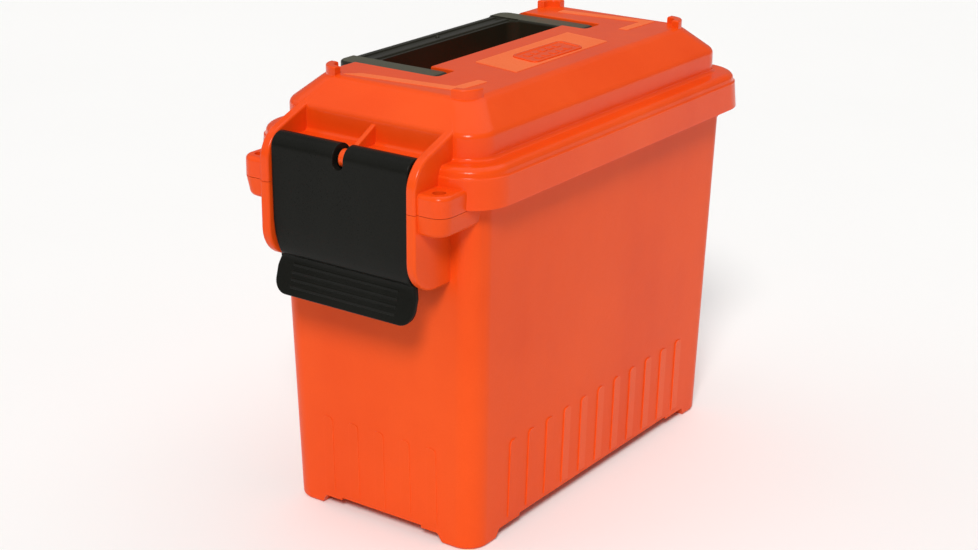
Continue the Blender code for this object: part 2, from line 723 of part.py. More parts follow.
def make_lid(build, finish):
    lid = build.part("lid_shell", lofted("lid_shell", lid_outer_sections()), finish)
    split = SPLIT_HEIGHT + FIT_GAP / 2
    add_flanges_and_ears(build, lid, flange_upper_outline(), split, split + EAR_HEIGHT)
    add_latch_stay(build, lid)
    add_lugs(build, lid)
    add_label_plate(build, lid)
    add_lid_hinge(build, lid)
    for mesh in recess_meshes("recess", 0):
        build.cut(lid, mesh)
    inside = build.helper(lofted("lid_inside", lid_inner_sections()))
    for mesh in recess_meshes("recess_wall", RECESS_WALL):
        build.cut(inside, mesh)
    build.combine(lid, inside, "DIFFERENCE")
    cut_seal_groove(build, lid)
    cut_skirt_channel(build, lid)
    cut_latch_sockets(build, lid)
    cut_handle_sockets(build, lid)
    cut_padlock_holes(build, lid)
    return lid


def make_seal(build, finish):
    low = SEAL_FLOOR - SEAL_STAND
    outer, inner = seal_ring_sections(0, low, low + SEAL_SECTION)
    seal = build.part("lid_seal", lofted("lid_seal", outer), finish)
    build.cut(seal, lofted("lid_seal_core", inner))
    return seal


def handle_outline(inset, end_x):
    """U of the handle seen from above, open to +X, drawn inset from its faces."""
    out_x = -HANDLE_REACH + inset
    out_y = HANDLE_HALF_LENGTH - inset
    in_x = -(HANDLE_REACH - GRIP_WIDTH) - inset
    in_y = HANDLE_HALF_LENGTH - ARM_WIDTH + inset
    corner = HANDLE_CORNER - inset
    hollow = HANDLE_CORNER + inset
    outline = [(end_x, out_y)]
    outline += arc((out_x + corner, out_y - corner), corner, 90, 180)
    outline += arc((out_x + corner, -out_y + corner), corner, 180, 270)
    outline += [(end_x, -out_y), (end_x, -in_y)]
    outline += arc((in_x + hollow, -in_y + hollow), hollow, 270, 180)
    outline += arc((in_x + hollow, in_y - hollow), hollow, 180, 90)
    return outline + [(end_x, in_y)]


def make_handle(build, finish):
    bottom = HANDLE_TOP - HANDLE_DEPTH
    middle = HANDLE_TOP - HANDLE_DEPTH / 2
    frame = plate("carry_handle", handle_outline(0, 0), TOP_VIEW, middle, HANDLE_DEPTH)
    handle = build.part("carry_handle", frame, finish)
    z = HANDLE_AXIS.z
    eye_low = z - EYE_RADIUS
    below = bottom - MM
    taper = [(-ARM_TAPER_END, below), (-ARM_TAPER_START, eye_low), (MM, eye_low), (MM, below)]
    build.cut(handle, plate("arm_taper", taper, FRONT_VIEW, 0, 3 * HANDLE_HALF_LENGTH))
    hollow = handle_outline(HANDLE_WALL, -3 * EYE_RADIUS)
    hollow_middle = HANDLE_TOP - HANDLE_WALL - HANDLE_DEPTH / 2
    build.cut(handle, plate("handle_hollow", hollow, TOP_VIEW, hollow_middle, HANDLE_DEPTH))
    for word, side in (("front", -1), ("rear", 1)):
        inner = Vector((0, side * (HANDLE_HALF_LENGTH - ARM_WIDTH), z))
        outer = Vector((0, side * HANDLE_HALF_LENGTH, z))
        tip = Vector((0, side * (HANDLE_HALF_LENGTH + TRUNNION_LENGTH), z))
        build.add(handle, rod(f"handle_eye_{word}", EYE_RADIUS - EYE_UNDER, inner, outer))
        build.add(handle, rod(f"handle_trunnion_{word}", TRUNNION_RADIUS, (inner + outer) / 2, tip))
    return handle


def latch_profile():
    """Side outline: the rolled top, the plate that bows in, and the flared finger lip."""
    y, z = LATCH_AXIS.y, LATCH_AXIS.z
    face = PLATE_FRONT
    lip = SPLIT_HEIGHT - LATCH_DROP
    neck = z - PLATE_BOW_END
    bow = PLATE_BOW
    front = [
        (face, z),
        (face + 0.05 * bow, z - PLATE_STRAIGHT),
        (face + 0.24 * bow, z - 0.84 * PLATE_BOW_END),
        (face + 0.57 * bow, neck + 0.24 * bow),
        (face + bow, neck),
        (face + 0.76 * bow, lip + LIP_HEIGHT),
        (face + 0.14 * bow, lip + 0.23 * LIP_HEIGHT),
        (face - 0.05 * bow, lip + 0.05 * LIP_HEIGHT),
        (face + 0.19 * bow, lip),
    ]
    back = [
        (0, lip + 0.09 * LIP_HEIGHT),
        (0.62 * bow, lip + LIP_HEIGHT),
        (1.1 * bow, neck),
        (0.57 * bow, z - 0.92 * PLATE_BOW_END),
        (0.14 * bow, z - PLATE_STRAIGHT),
    ]
    outline = front + [(face + LATCH_THICKNESS + u, v) for u, v in back]
    return outline + arc((y, z), LATCH_BARREL, 237, 540, BARREL_STEPS)[:-1]


def latch_front_view():
    """Front outline: a narrow plate and a wider finger lip with round corners."""
    half = FLANGE_INNER - FIT_GAP
    wide = half + LIP_WIDER
    top = LATCH_AXIS.z + 2 * LATCH_BARREL
    lip = SPLIT_HEIGHT - LATCH_DROP - MM
    spread = SPLIT_HEIGHT - FLANGE_BOTTOM - 2 * FIT_GAP - LIP_WIDER
    right = arc((wide - LIP_CORNER, lip + LIP_CORNER), LIP_CORNER, -90, 0)
    right += [(wide, spread - 2 * LIP_WIDER), (half, spread), (half, top)]
    return right + mirrored(right)


def make_latch(build, finish):
    y, z = LATCH_AXIS.y, LATCH_AXIS.z
    side = plate("front_latch", latch_profile(), SIDE_VIEW, 0, 3 * FLANGE_INNER)
    latch = build.part("front_latch", side, finish)
    build.keep(latch, plate("latch_front", latch_front_view(), FRONT_VIEW, -y, 8 * LATCH_BARREL))
    hook_top = CATCH_Z - CATCH_THICKNESS / 2 - FIT_GAP
    hook_low = (-CATCH_HALF, PLATE_FRONT + LATCH_THICKNESS / 2, hook_top - HOOK_HEIGHT)
    build.add(latch, block("latch_hook", hook_low, (CATCH_HALF, HOOK_FRONT, hook_top)))
    notch_low = (-NOTCH_HALF, PLATE_FRONT - LATCH_BARREL, z - NOTCH_DROP)
    notch_high = (NOTCH_HALF, y + 2 * LATCH_BARREL, z + 2 * LATCH_BARREL)
    build.cut(latch, block("latch_notch", notch_low, notch_high))
    behind_low = (-NOTCH_HALF, PLATE_FRONT + LATCH_THICKNESS, z - 2 * LATCH_BARREL)
    behind_high = (NOTCH_HALF, y + 2 * LATCH_BARREL, z)
    build.cut(latch, block("latch_notch_behind", behind_low, behind_high))
    reach = FLANGE_INNER + LATCH_TRUNNION_LENGTH
    build.add(latch, rod("latch_axle", LATCH_TRUNNION, (-reach, y, z), (reach, y, z)))
    return latch


def make_hinge_pin(build, name, side, finish):
    reach = LID_KNUCKLE / 2 + FIT_GAP + TUB_KNUCKLE
    y, z = HINGE_AXIS.y, HINGE_AXIS.z
    inner = Vector((side * (HINGE_X - reach), y, z))
    outer = Vector((side * (HINGE_X + reach + FIT_GAP), y, z))
    head_end = outer + Vector((side * HINGE_HEAD, 0, 0))
    shank = rod(name, HINGE_PIN_RADIUS, inner, (outer + head_end) / 2)
    pin = build.part(name, shank, finish)
    build.add(pin, rod(name + "_head", HINGE_HEAD_RADIUS, outer, head_end))
    return pin


def pivot(name, place, parent, root, collection):
    """An empty on a joint's axis. place is in the root's frame."""
    made = bpy.data.objects.new(name, None)
    made.empty_display_size = 10 * MM
    collection.objects.link(made)
    made.parent = parent
    made.location = place
    walker = parent
    while walker is not root:
        made.location -= walker.location
        walker = walker.parent
    return made


def hang(piece, holder, root):
    """Parents a piece to an empty and leaves it where it is."""
    piece.parent = holder
    walker = holder
    while walker is not root:
        piece.location -= walker.location
        walker = walker.parent


def main():
    clear_scene()
    parts = new_collection("utility_dry_box")
    cutters = new_collection("cutters")
    root = bpy.data.objects.new("utility_dry_box_root", None)
    root.location = (0, CENTRE_Y, 0)
    root.empty_display_size = 20 * MM
    parts.objects.link(root)
    build = Builder(parts, cutters, root)

    orange = material("orange_plastic", (0.82, 0.115, 0.012), 0.42)
    black = material("black_plastic", (0.018, 0.019, 0.017), 0.38)
    rubber = material("seal_rubber", (0.03, 0.03, 0.03), 0.7)
    steel = material("pin_steel", (0.55, 0.55, 0.56), 0.3, 1.0)

    make_tub(build, orange)
    lid = make_lid(build, orange)
    seal = make_seal(build, rubber)
    latch = make_latch(build, black)
    handle = make_handle(build, black)
    make_hinge_pin(build, "hinge_pin_left", -1, steel)
    make_hinge_pin(build, "hinge_pin_right", 1, steel)

    lid_pivot = pivot("lid_pivot", HINGE_AXIS, root, root, parts)
    latch_pivot = pivot("latch_pivot", LATCH_AXIS, lid_pivot, root, parts)
    handle_pivot = pivot("handle_pivot", HANDLE_AXIS, lid_pivot, root, parts)
    hang(lid, lid_pivot, root)
    hang(seal, lid_pivot, root)
    hang(latch, latch_pivot, root)
    hang(handle, handle_pivot, root)


main()
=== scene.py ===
import json
import math

import bmesh
import bpy
from mathutils import Matrix, Vector


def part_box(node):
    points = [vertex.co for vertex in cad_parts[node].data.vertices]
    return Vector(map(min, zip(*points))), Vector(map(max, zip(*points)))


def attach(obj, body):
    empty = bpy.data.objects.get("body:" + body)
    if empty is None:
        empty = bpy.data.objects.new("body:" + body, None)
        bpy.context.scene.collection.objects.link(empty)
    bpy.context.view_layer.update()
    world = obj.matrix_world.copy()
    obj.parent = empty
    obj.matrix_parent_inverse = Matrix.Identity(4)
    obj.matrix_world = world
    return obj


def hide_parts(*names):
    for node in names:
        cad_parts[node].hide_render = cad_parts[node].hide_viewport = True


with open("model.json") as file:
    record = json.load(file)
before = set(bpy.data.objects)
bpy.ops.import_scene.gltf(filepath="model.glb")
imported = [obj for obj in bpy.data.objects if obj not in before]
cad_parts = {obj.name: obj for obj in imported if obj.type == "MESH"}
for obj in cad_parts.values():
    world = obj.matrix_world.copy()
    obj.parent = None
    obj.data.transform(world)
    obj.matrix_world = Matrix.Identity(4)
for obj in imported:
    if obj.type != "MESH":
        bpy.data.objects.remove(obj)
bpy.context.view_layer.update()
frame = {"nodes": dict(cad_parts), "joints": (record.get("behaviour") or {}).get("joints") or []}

mm = 0.001
scene = bpy.context.scene
scene.view_settings.view_transform = "Standard"
handleLow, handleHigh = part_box("carry_handle")
midY = (handleLow.y + handleHigh.y) / 2  # middle of the tub's length
hingeAt = {joint["name"]: Vector(joint["pos_m"]) for joint in frame["joints"]}
splitZ = hingeAt["lid_hinge"].z + 3.5 * mm  # where lid and tub meet


def clearChoice():
    if bpy.context.mode != "OBJECT":
        bpy.ops.object.mode_set(mode="OBJECT")
    bpy.ops.object.select_all(action="DESELECT")


def chooseOnly(piece):
    clearChoice()
    piece.select_set(True)
    bpy.context.view_layer.objects.active = piece


def applyPlace(piece):
    chooseOnly(piece)
    bpy.ops.object.transform_apply(location=True, rotation=True, scale=True)
    return piece


def pick(piece, kind, test):
    # opens the piece in edit mode with only the matching corners, edges or faces selected
    chooseOnly(piece)
    bpy.ops.object.mode_set(mode="EDIT")
    bpy.ops.mesh.select_mode(type=kind)
    bpy.ops.mesh.select_all(action="DESELECT")
    cage = bmesh.from_edit_mesh(piece.data)
    parts = {"VERT": cage.verts, "EDGE": cage.edges, "FACE": cage.faces}[kind]
    found = [part for part in parts if test(part)]
    for part in found:
        part.select_set(True)
    cage.select_flush_mode()
    bmesh.update_edit_mesh(piece.data)
    return len(found)


def closeEdit():
    bpy.ops.object.mode_set(mode="OBJECT")


def ends(edge):
    return edge.verts[0].co, edge.verts[1].co


def along(edge, axis):
    a, b = ends(edge)
    step = b - a
    return abs(step[axis]) > 0.99 * step.length


def middle(edge):
    a, b = ends(edge)
    return (a + b) / 2


def near(a, b, tolerance=0.02 * mm):
    return abs(a - b) < tolerance


def roundEdges(piece, test, width, segments=3):
    if pick(piece, "EDGE", test):
        bpy.ops.mesh.bevel(
            offset=width, segments=segments, profile=0.5, affect="EDGES", clamp_overlap=False
        )
    closeEdit()


def startBox(name, low, high):
    low, high = Vector(low), Vector(high)
    clearChoice()
    bpy.ops.mesh.primitive_cube_add(size=1, location=(low + high) / 2)
    piece = bpy.context.object
    piece.name = piece.data.name = name
    piece.scale = high - low
    return applyPlace(piece)


def startRod(name, radius, start, end, sides=40):
    start, end = Vector(start), Vector(end)
    clearChoice()
    turn = Vector((0, 0, 1)).rotation_difference(end - start).to_euler()
    bpy.ops.mesh.primitive_cylinder_add(
        vertices=sides, radius=radius, depth=(end - start).length,
        location=(start + end) / 2, rotation=turn,
    )
    piece = bpy.context.object
    piece.name = piece.data.name = name
    return applyPlace(piece)


def boxAcross(name, side, x0, x1, lowYZ, highYZ):
    # a box between two x values on the left (side -1) or on the right (side 1)
    x0, x1 = x0 * side, x1 * side
    return startBox(name, (min(x0, x1), *lowYZ), (max(x0, x1), *highYZ))


def moveCorners(piece, test, shift):
    pick(piece, "VERT", test)
    bpy.ops.transform.translate(value=shift)
    closeEdit()


def stretchCorners(piece, test, factors, centre=(0, 0, 0)):
    pick(piece, "VERT", test)
    bpy.ops.transform.resize(value=factors, center_override=centre)
    closeEdit()


def stepUp(piece, steps, centre):
    # raises the top face through (half width, half length, height) steps
    top = max(corner[2] for corner in piece.bound_box)
    pick(piece, "FACE", lambda face: face.normal.z > 0.99 and near(face.calc_center_median().z, top))
    for halfX, halfY, z in steps:
        cage = bmesh.from_edit_mesh(piece.data)
        corners = [corner.co for corner in cage.verts if corner.select]
        nowX = max(co.x for co in corners) - centre[0]
        nowY = max(co.y for co in corners) - centre[1]
        rise = z - corners[0].z
        bpy.ops.mesh.extrude_region_move(TRANSFORM_OT_translate={"value": (0, 0, rise)})
        bpy.ops.transform.resize(
            value=(halfX / nowX, halfY / nowY, 1), center_override=(centre[0], centre[1], z)
        )
    closeEdit()


def combine(piece, other, operation):
    modifier = piece.modifiers.new("combine", "BOOLEAN")
    modifier.operation = operation
    modifier.solver = "EXACT"
    modifier.object = other
    chooseOnly(piece)
    bpy.ops.object.modifier_apply(modifier=modifier.name)
    bpy.data.objects.remove(other, do_unlink=True)


def addTo(piece, *others):
    for other in others:
        combine(piece, other, "UNION")


def cutFrom(piece, *others):
    for other in others:
        combine(piece, other, "DIFFERENCE")


def joinInto(first, others):
    # several loose bodies made one object, so that one Boolean takes them all
    chooseOnly(first)
    for other in others:
        other.select_set(True)
    bpy.ops.object.join()
    return first


def faceOutwards():
    bpy.ops.mesh.select_all(action="SELECT")
    bpy.ops.mesh.normals_make_consistent(inside=False)
    closeEdit()


def copyOf(piece, shift=(0, 0, 0), flip=None):
    chooseOnly(piece)
    bpy.ops.object.duplicate()
    made = bpy.context.object
    made.location = shift
    if flip is not None:
        made.scale[flip] = -1
    applyPlace(made)
    if flip is not None:
        bpy.ops.object.mode_set(mode="EDIT")
        faceOutwards()
    return made


def colourFaces(piece, finishes, test):
    # the first finish everywhere, and the second on the faces that match
    piece.data.materials.clear()
    for finish in finishes:
        piece.data.materials.append(finish)
    for polygon in piece.data.polygons:
        polygon.material_index = 1 if test(polygon) else 0


def finishMesh(piece, angle=32):
    chooseOnly(piece)
    bpy.ops.object.mode_set(mode="EDIT")
    bpy.ops.mesh.select_all(action="SELECT")
    bpy.ops.mesh.remove_doubles(threshold=0.004 * mm)
    closeEdit()
    bpy.ops.object.shade_smooth_by_angle(angle=math.radians(angle))
    weighted = piece.modifiers.new("weighted", "WEIGHTED_NORMAL")
    weighted.keep_sharp = True
    bpy.ops.object.modifier_apply(modifier=weighted.name)


def newMaterial(name):
    made = bpy.data.materials.new(name)
    made.use_nodes = True
    return made, made.node_tree, made.node_tree.nodes["Principled BSDF"]


def objectCoords(tree):
    return tree.nodes.new("ShaderNodeTexCoord").outputs["Object"]


def noise(tree, coords, scale, detail=3.0, rough=0.5, stretch=None):
    source = coords
    if stretch:
        mapping = tree.nodes.new("ShaderNodeMapping")
        mapping.inputs["Scale"].default_value = stretch
        tree.links.new(coords, mapping.inputs["Vector"])
        source = mapping.outputs["Vector"]
    made = tree.nodes.new("ShaderNodeTexNoise")
    made.inputs["Scale"].default_value = scale
    made.inputs["Detail"].default_value = detail
    made.inputs["Roughness"].default_value = rough
    tree.links.new(source, made.inputs["Vector"])
    return made.outputs["Fac"]


def ranged(tree, value, low, high, outLow, outHigh):
    made = tree.nodes.new("ShaderNodeMapRange")
    sockets = ("From Min", "From Max", "To Min", "To Max")
    for socket, number in zip(sockets, (low, high, outLow, outHigh)):
        made.inputs[socket].default_value = number
    tree.links.new(value, made.inputs["Value"])
    return made.outputs["Result"]


def mixColour(tree, factor, first, second):
    # each of the two is a colour, or another node's output
    made = tree.nodes.new("ShaderNodeMix")
    made.data_type = "RGBA"
    for socket, colour in ((made.inputs[6], first), (made.inputs[7], second)):
        if isinstance(colour, tuple):
            socket.default_value = (*colour, 1)
        else:
            tree.links.new(colour, socket)
    tree.links.new(factor, made.inputs[0])
    return made.outputs[2]


def joined(tree, first, second, operation="ADD"):
    made = tree.nodes.new("ShaderNodeMath")
    made.operation = operation
    tree.links.new(first, made.inputs[0])
    tree.links.new(second, made.inputs[1])
    return made.outputs[0]


def bumpFrom(tree, height, strength, distance, below=None):
    made = tree.nodes.new("ShaderNodeBump")
    made.inputs["Strength"].default_value = strength
    made.inputs["Distance"].default_value = distance
    tree.links.new(height, made.inputs["Height"])
    if below:
        tree.links.new(below, made.inputs["Normal"])
    return made.outputs["Normal"]


def edgeMask(tree, radius):
    # 1 where the surface turns within that radius, such as along a moulded edge
    soft = tree.nodes.new("ShaderNodeBevel")
    soft.samples = 6
    soft.inputs["Radius"].default_value = radius
    flat = tree.nodes.new("ShaderNodeNewGeometry")
    dot = tree.nodes.new("ShaderNodeVectorMath")
    dot.operation = "DOT_PRODUCT"
    tree.links.new(soft.outputs["Normal"], dot.inputs[0])
    tree.links.new(flat.outputs["Normal"], dot.inputs[1])
    return ranged(tree, dot.outputs["Value"], 1.0, 0.9, 0.0, 1.0)


# what all the plastics share: scales count per metre, shares and bumps run from 0 to 1
orangeLook = {
    "deep": (0.80, 0.064, 0.004), "light": (0.88, 0.080, 0.006), "streak": (0.92, 0.105, 0.012),
    # the edge colour is a painted highlight along moulded edges
    "speck": (0.72, 0.054, 0.003), "edge": (0.97, 0.17, 0.04),
    "cloudScale": 14, "cloudRough": 0.025,
    "flowScale": 9, "flowStretch": (3, 3, 0.4), "flowShare": 0.35,
    "grainScale": 1500, "grainShare": 0.16, "grainBump": 0.30, "grainDepth": 0.00012,
    "peelScale": 170, "peelBump": 0.10, "peelDepth": 0.0006,
    # next line: a noise scale that breaks up the painted edge highlight, the width it spans, how much of it
    # is mixed in, and extra roughness on the edges
    "sheenBreakScale": 260, "edgeWidth": 0.0008, "edgeSheenShare": 0.22, "edgeRough": 0.03,
    "roughLow": 0.28, "roughHigh": 0.40, "shine": 0.14,
}
tubLook = dict(orangeLook, deep=(0.80, 0.072, 0.006), light=(0.88, 0.090, 0.009))
lidLook = dict(orangeLook, roughLow=0.17, roughHigh=0.27, shine=0.22)
# textured panels: real grain and roughness, with a paler colour that is painted haze of reflected light
texturedHazeLook = dict(
    orangeLook, deep=(0.86, 0.16, 0.048), light=(0.91, 0.19, 0.064), streak=(0.94, 0.21, 0.08),
    speck=(0.82, 0.12, 0.03), grainScale=1100, grainShare=0.4, grainBump=0.85,
    roughLow=0.6, roughHigh=0.8,
)
# rib faces: a lighter colour that is painted highlight, with a rougher and shinier finish
ribLightLook = dict(
    orangeLook, deep=(0.83, 0.096, 0.018), light=(0.89, 0.116, 0.026),
    roughLow=0.34, roughHigh=0.48, shine=0.22,
)
blackLook = dict(
    orangeLook, deep=(0.0048, 0.0050, 0.0038), light=(0.0070, 0.0072, 0.0056),
    # its edge colour is likewise a painted highlight along the edges
    streak=(0.012, 0.012, 0.010), speck=(0.016, 0.016, 0.014), edge=(0.040, 0.041, 0.036),
    grainScale=1700, grainShare=0.30, grainBump=0.35, roughLow=0.26, roughHigh=0.38,
    edgeSheenShare=0.34, peelBump=0.06, shine=0.09,
)
# a lighter olive colour that is painted sheen on the handle's flat top, with a glossier finish
topSheenLook = dict(
    blackLook, deep=(0.058, 0.056, 0.032), light=(0.088, 0.085, 0.052), streak=(0.10, 0.095, 0.06),
    roughLow=0.3, roughHigh=0.42, shine=0.3,
)
handleLook = dict(blackLook, deep=(0.0150, 0.0135, 0.0065), light=(0.0200, 0.0182, 0.0095), shine=0.22)


def mouldedPlastic(name, look):
    made, tree, shader = newMaterial(name)
    coords = objectCoords(tree)
    cloud = noise(tree, coords, look["cloudScale"], 4, 0.55)  # pigment that isn't quite even
    flow = noise(tree, coords, look["flowScale"], 3, 0.5, look["flowStretch"])  # streaks left by moulding
    grain = noise(tree, coords, look["grainScale"], 2, 0.6)  # spark-eroded mould texture
    peel = noise(tree, coords, look["peelScale"], 2, 0.5)  # gentle waviness
    sheenBreak = noise(tree, coords, look["sheenBreakScale"], 4, 0.6)  # breaks up the painted highlight along the edges
    base = mixColour(tree, ranged(tree, cloud, 0.3, 0.7, 0, 1), look["deep"], look["light"])
    base = mixColour(tree, ranged(tree, flow, 0.42, 0.72, 0, look["flowShare"]), base, look["streak"])
    base = mixColour(tree, ranged(tree, grain, 0.3, 0.75, 0, look["grainShare"]), base, look["speck"])
    # painted highlight: a lighter colour mixed in along the edges and broken up by noise; the edges also
    # turn a little rougher
    edges = edgeMask(tree, look["edgeWidth"])
    sheenMark = joined(tree, edges, ranged(tree, sheenBreak, 0.35, 0.7, 0.25, 1), "MULTIPLY")
    base = mixColour(tree, ranged(tree, sheenMark, 0, 1, 0, look["edgeSheenShare"]), base, look["edge"])
    tree.links.new(base, shader.inputs["Base Color"])
    rough = ranged(tree, grain, 0.2, 0.8, look["roughLow"], look["roughHigh"])
    uneven = ranged(tree, cloud, 0.3, 0.7, -look["cloudRough"], look["cloudRough"])
    rough = joined(tree, rough, uneven)
    rough = joined(tree, rough, ranged(tree, sheenMark, 0, 1, 0, look["edgeRough"]))
    tree.links.new(rough, shader.inputs["Roughness"])
    relief = bumpFrom(tree, peel, look["peelBump"], look["peelDepth"])
    relief = bumpFrom(tree, grain, look["grainBump"], look["grainDepth"], relief)
    tree.links.new(relief, shader.inputs["Normal"])
    shader.inputs["Specular IOR Level"].default_value = look["shine"]
    return made


rubberLook = {
    "clean": (0.018, 0.018, 0.018), "dusty": (0.07, 0.068, 0.065), "dustScale": 420, "dustShare": 0.5,
    "roughLow": 0.62, "roughHigh": 0.85, "grainScale": 1900, "grainBump": 0.4, "grainDepth": 0.0001,
}


def rubberMaterial():
    look = rubberLook
    made, tree, shader = newMaterial("seal rubber")
    coords = objectCoords(tree)
    dust = noise(tree, coords, look["dustScale"], 5, 0.65)
    share = ranged(tree, dust, 0.4, 0.8, 0, look["dustShare"])
    rough = ranged(tree, dust, 0.2, 0.8, look["roughLow"], look["roughHigh"])
    grain = noise(tree, coords, look["grainScale"], 2)
    relief = bumpFrom(tree, grain, look["grainBump"], look["grainDepth"])
    tree.links.new(mixColour(tree, share, look["clean"], look["dusty"]), shader.inputs["Base Color"])
    tree.links.new(rough, shader.inputs["Roughness"])
    tree.links.new(relief, shader.inputs["Normal"])
    return made


steelLook = {
    "dull": (0.42, 0.42, 0.43), "bright": (0.62, 0.61, 0.60), "blotchScale": 120,
    "lineScale": 900, "lineStretch": (0.05, 1, 1), "lineBump": 0.25, "lineDepth": 0.00006,
    "roughLow": 0.22, "roughHigh": 0.42,
}


def steelMaterial():
    look = steelLook
    made, tree, shader = newMaterial("drawn steel")
    coords = objectCoords(tree)
    lines = noise(tree, coords, look["lineScale"], 3, 0.6, look["lineStretch"])  # marks along the pin
    blotch = noise(tree, coords, look["blotchScale"], 4, 0.6)
    share = ranged(tree, blotch, 0.35, 0.7, 0, 1)
    rough = ranged(tree, lines, 0.3, 0.7, look["roughLow"], look["roughHigh"])
    tree.links.new(mixColour(tree, share, look["dull"], look["bright"]), shader.inputs["Base Color"])
    tree.links.new(rough, shader.inputs["Roughness"])
    tree.links.new(bumpFrom(tree, lines, look["lineBump"], look["lineDepth"]), shader.inputs["Normal"])
    shader.inputs["Metallic"].default_value = 1.0
    return made


tubSizes = {
    "baseX": 54.1 * mm, "baseY": 106.5 * mm, "lean": 0.026,  # half sizes at the floor, wider with height
    "corner": 11.0 * mm, "bottomEdge": 1.8 * mm, "top": 177.5 * mm,
    "wall": 3.0 * mm, "floor": 9.5 * mm, "insideCorner": 8.6 * mm, "floorEdge": 2.5 * mm,
    "collarOut": 4.6 * mm, "collarLow": 1.2 * mm, "collarTall": 2.8 * mm,
    "collarCorner": 15.0 * mm, "collarEdge": 0.7 * mm,
}


def tubHalf(z):
    return tubSizes["baseX"] + tubSizes["lean"] * z, tubSizes["baseY"] + tubSizes["lean"] * z


def grown(half, extra):
    return half[0] + extra, half[1] + extra


def taperedBlock(name, lowHalf, highHalf, corner, low, high, segments=9):
    # an upright block with round corners, wider or narrower at its top
    piece = startBox(name, (-lowHalf[0], midY - lowHalf[1], low), (lowHalf[0], midY + lowHalf[1], high))
    roundEdges(piece, lambda edge: along(edge, 2), corner, segments)
    factors = (highHalf[0] / lowHalf[0], highHalf[1] / lowHalf[1], 1)
    stretchCorners(piece, lambda corner: near(corner.co.z, high), factors, (0, midY, high))
    return piece


footSizes = {
    "endX": 33.6 * mm, "endY": 86.0 * mm, "slant": 3.0 * mm, "top": 5.0 * mm, "edge": 0.8 * mm,
    # each gap's roof steps up in its middle
    "stepX": 24.0 * mm, "stepY": 69.0 * mm, "stepTop": 6.3 * mm, "stepLowX": 1.0 * mm, "stepLowY": 1.4 * mm,
    "past": 150.0 * mm, "apart": (0.06 * mm, 0.03 * mm),  # so that no two roofs lie in one plane
}


def footGap(axis, halfLow, top):
    # a slanted gap that runs right through under the floor
    size = footSizes
    low = -2 * mm
    spread = size["slant"] * (top - low) / top
    reach = [size["past"], size["past"]]
    reach[axis] = halfLow
    piece = startBox("gap", (-reach[0], midY - reach[1], low), (reach[0], midY + reach[1], top))
    centre = (0, midY)[axis]
    for side in (-1, 1):
        shift = [0, 0, 0]
        shift[axis] = side * spread
        moveCorners(
            piece, lambda corner: near(corner.co.z, low) and (corner.co[axis] - centre) * side > 0, shift
        )
    roundEdges(piece, lambda edge: along(edge, 1 - axis) and middle(edge).z > 0, size["edge"])
    return piece


def footGaps():
    size = footSizes
    reach = size["past"]
    stepX = startBox(
        "gap", (-size["stepX"], midY - reach, size["stepLowX"]),
        (size["stepX"], midY + reach, size["stepTop"]),
    )
    stepY = startBox(
        "gap", (-reach, midY - size["stepY"], size["stepLowY"]),
        (reach, midY + size["stepY"], size["stepTop"] + size["apart"][1]),
    )
    across = footGap(0, size["endX"], size["top"])
    lengthwise = footGap(1, size["endY"], size["top"] - size["apart"][0])
    return stepX, stepY, across, lengthwise


ribSizes = {
    "pitch": 15.3 * mm, "width": 7.6 * mm, "face": 5.6 * mm, "low": 8.5 * mm, "top": 50.0 * mm,
    "root": 1.5 * mm, "round": 2.0 * mm,
    "walls": ((0, 11, 0.5 * mm), (1, 5, 0.26 * mm)),  # the axis each faces along, its ribs, their height
    # the rear ribs' raised faces get a painted highlight: from where along the tub, and how proud a face
    # must stand
    "ribLightFrom": -40.0 * mm, "ribLight": (0.3 * mm, 0.2 * mm),
}


def ribBar(axis, side, proud):
    # a flat bar that leans with its wall; axis is the one its wall faces along
    size = ribSizes
    other = 1 - axis
    halfLow = tubHalf(size["low"])[axis] * side
    halfTop = tubHalf(size["top"])[axis] * side
    centre = (0, midY)
    inner, outer = centre[axis] + halfLow - side * size["root"], centre[axis] + halfLow + side * proud
    low, high = [0, 0], [0, 0]
    low[axis], high[axis] = min(inner, outer), max(inner, outer)
    low[other], high[other] = centre[other] - size["width"] / 2, centre[other] + size["width"] / 2
    piece = startBox("rib", (*low, size["low"]), (*high, size["top"]))
    shift = [0, 0, 0]
    shift[axis] = halfTop - halfLow
    moveCorners(piece, lambda corner: near(corner.co.z, size["top"]), shift)

    def outside(corner):
        return (corner.co[axis] - inner) * side > 0.3 * mm

    narrow = [1, 1, 1]
    narrow[other] = size["face"] / size["width"]
    stretchCorners(piece, outside, narrow, (centre[0], centre[1], 0))
    slope = (0, 0, size["face"] - size["width"])
    moveCorners(piece, lambda corner: outside(corner) and near(corner.co.z, size["top"]), slope)
    upper = size["top"] - 4 * mm
    roundEdges(piece, lambda edge: middle(edge).z > upper and along(edge, axis), size["round"], 4)
    return piece


def wallRibs():
    bars = []
    for axis, count, proud in ribSizes["walls"]:
        for side in (-1, 1):
            first = ribBar(axis, side, proud)
            for number in range(count):
                shift = [0, 0, 0]
                shift[1 - axis] = (number - (count - 1) / 2) * ribSizes["pitch"]
                bars.append(copyOf(first, shift))
            bpy.data.objects.remove(first, do_unlink=True)
    return joinInto(bars[0], bars[1:])


def onLitRibFace(face):
    # the raised faces of the ribs towards the rear, which get a lighter painted highlight
    size = ribSizes
    if not (size["low"] < face.center.z < size["top"]) or face.center.y < midY + size["ribLightFrom"]:
        return False
    halfX, halfY = tubHalf(face.center.z)
    proudX, proudY = abs(face.center.x) - halfX, abs(face.center.y - midY) - halfY
    return proudX > size["ribLight"][0] or proudY > size["ribLight"][1]


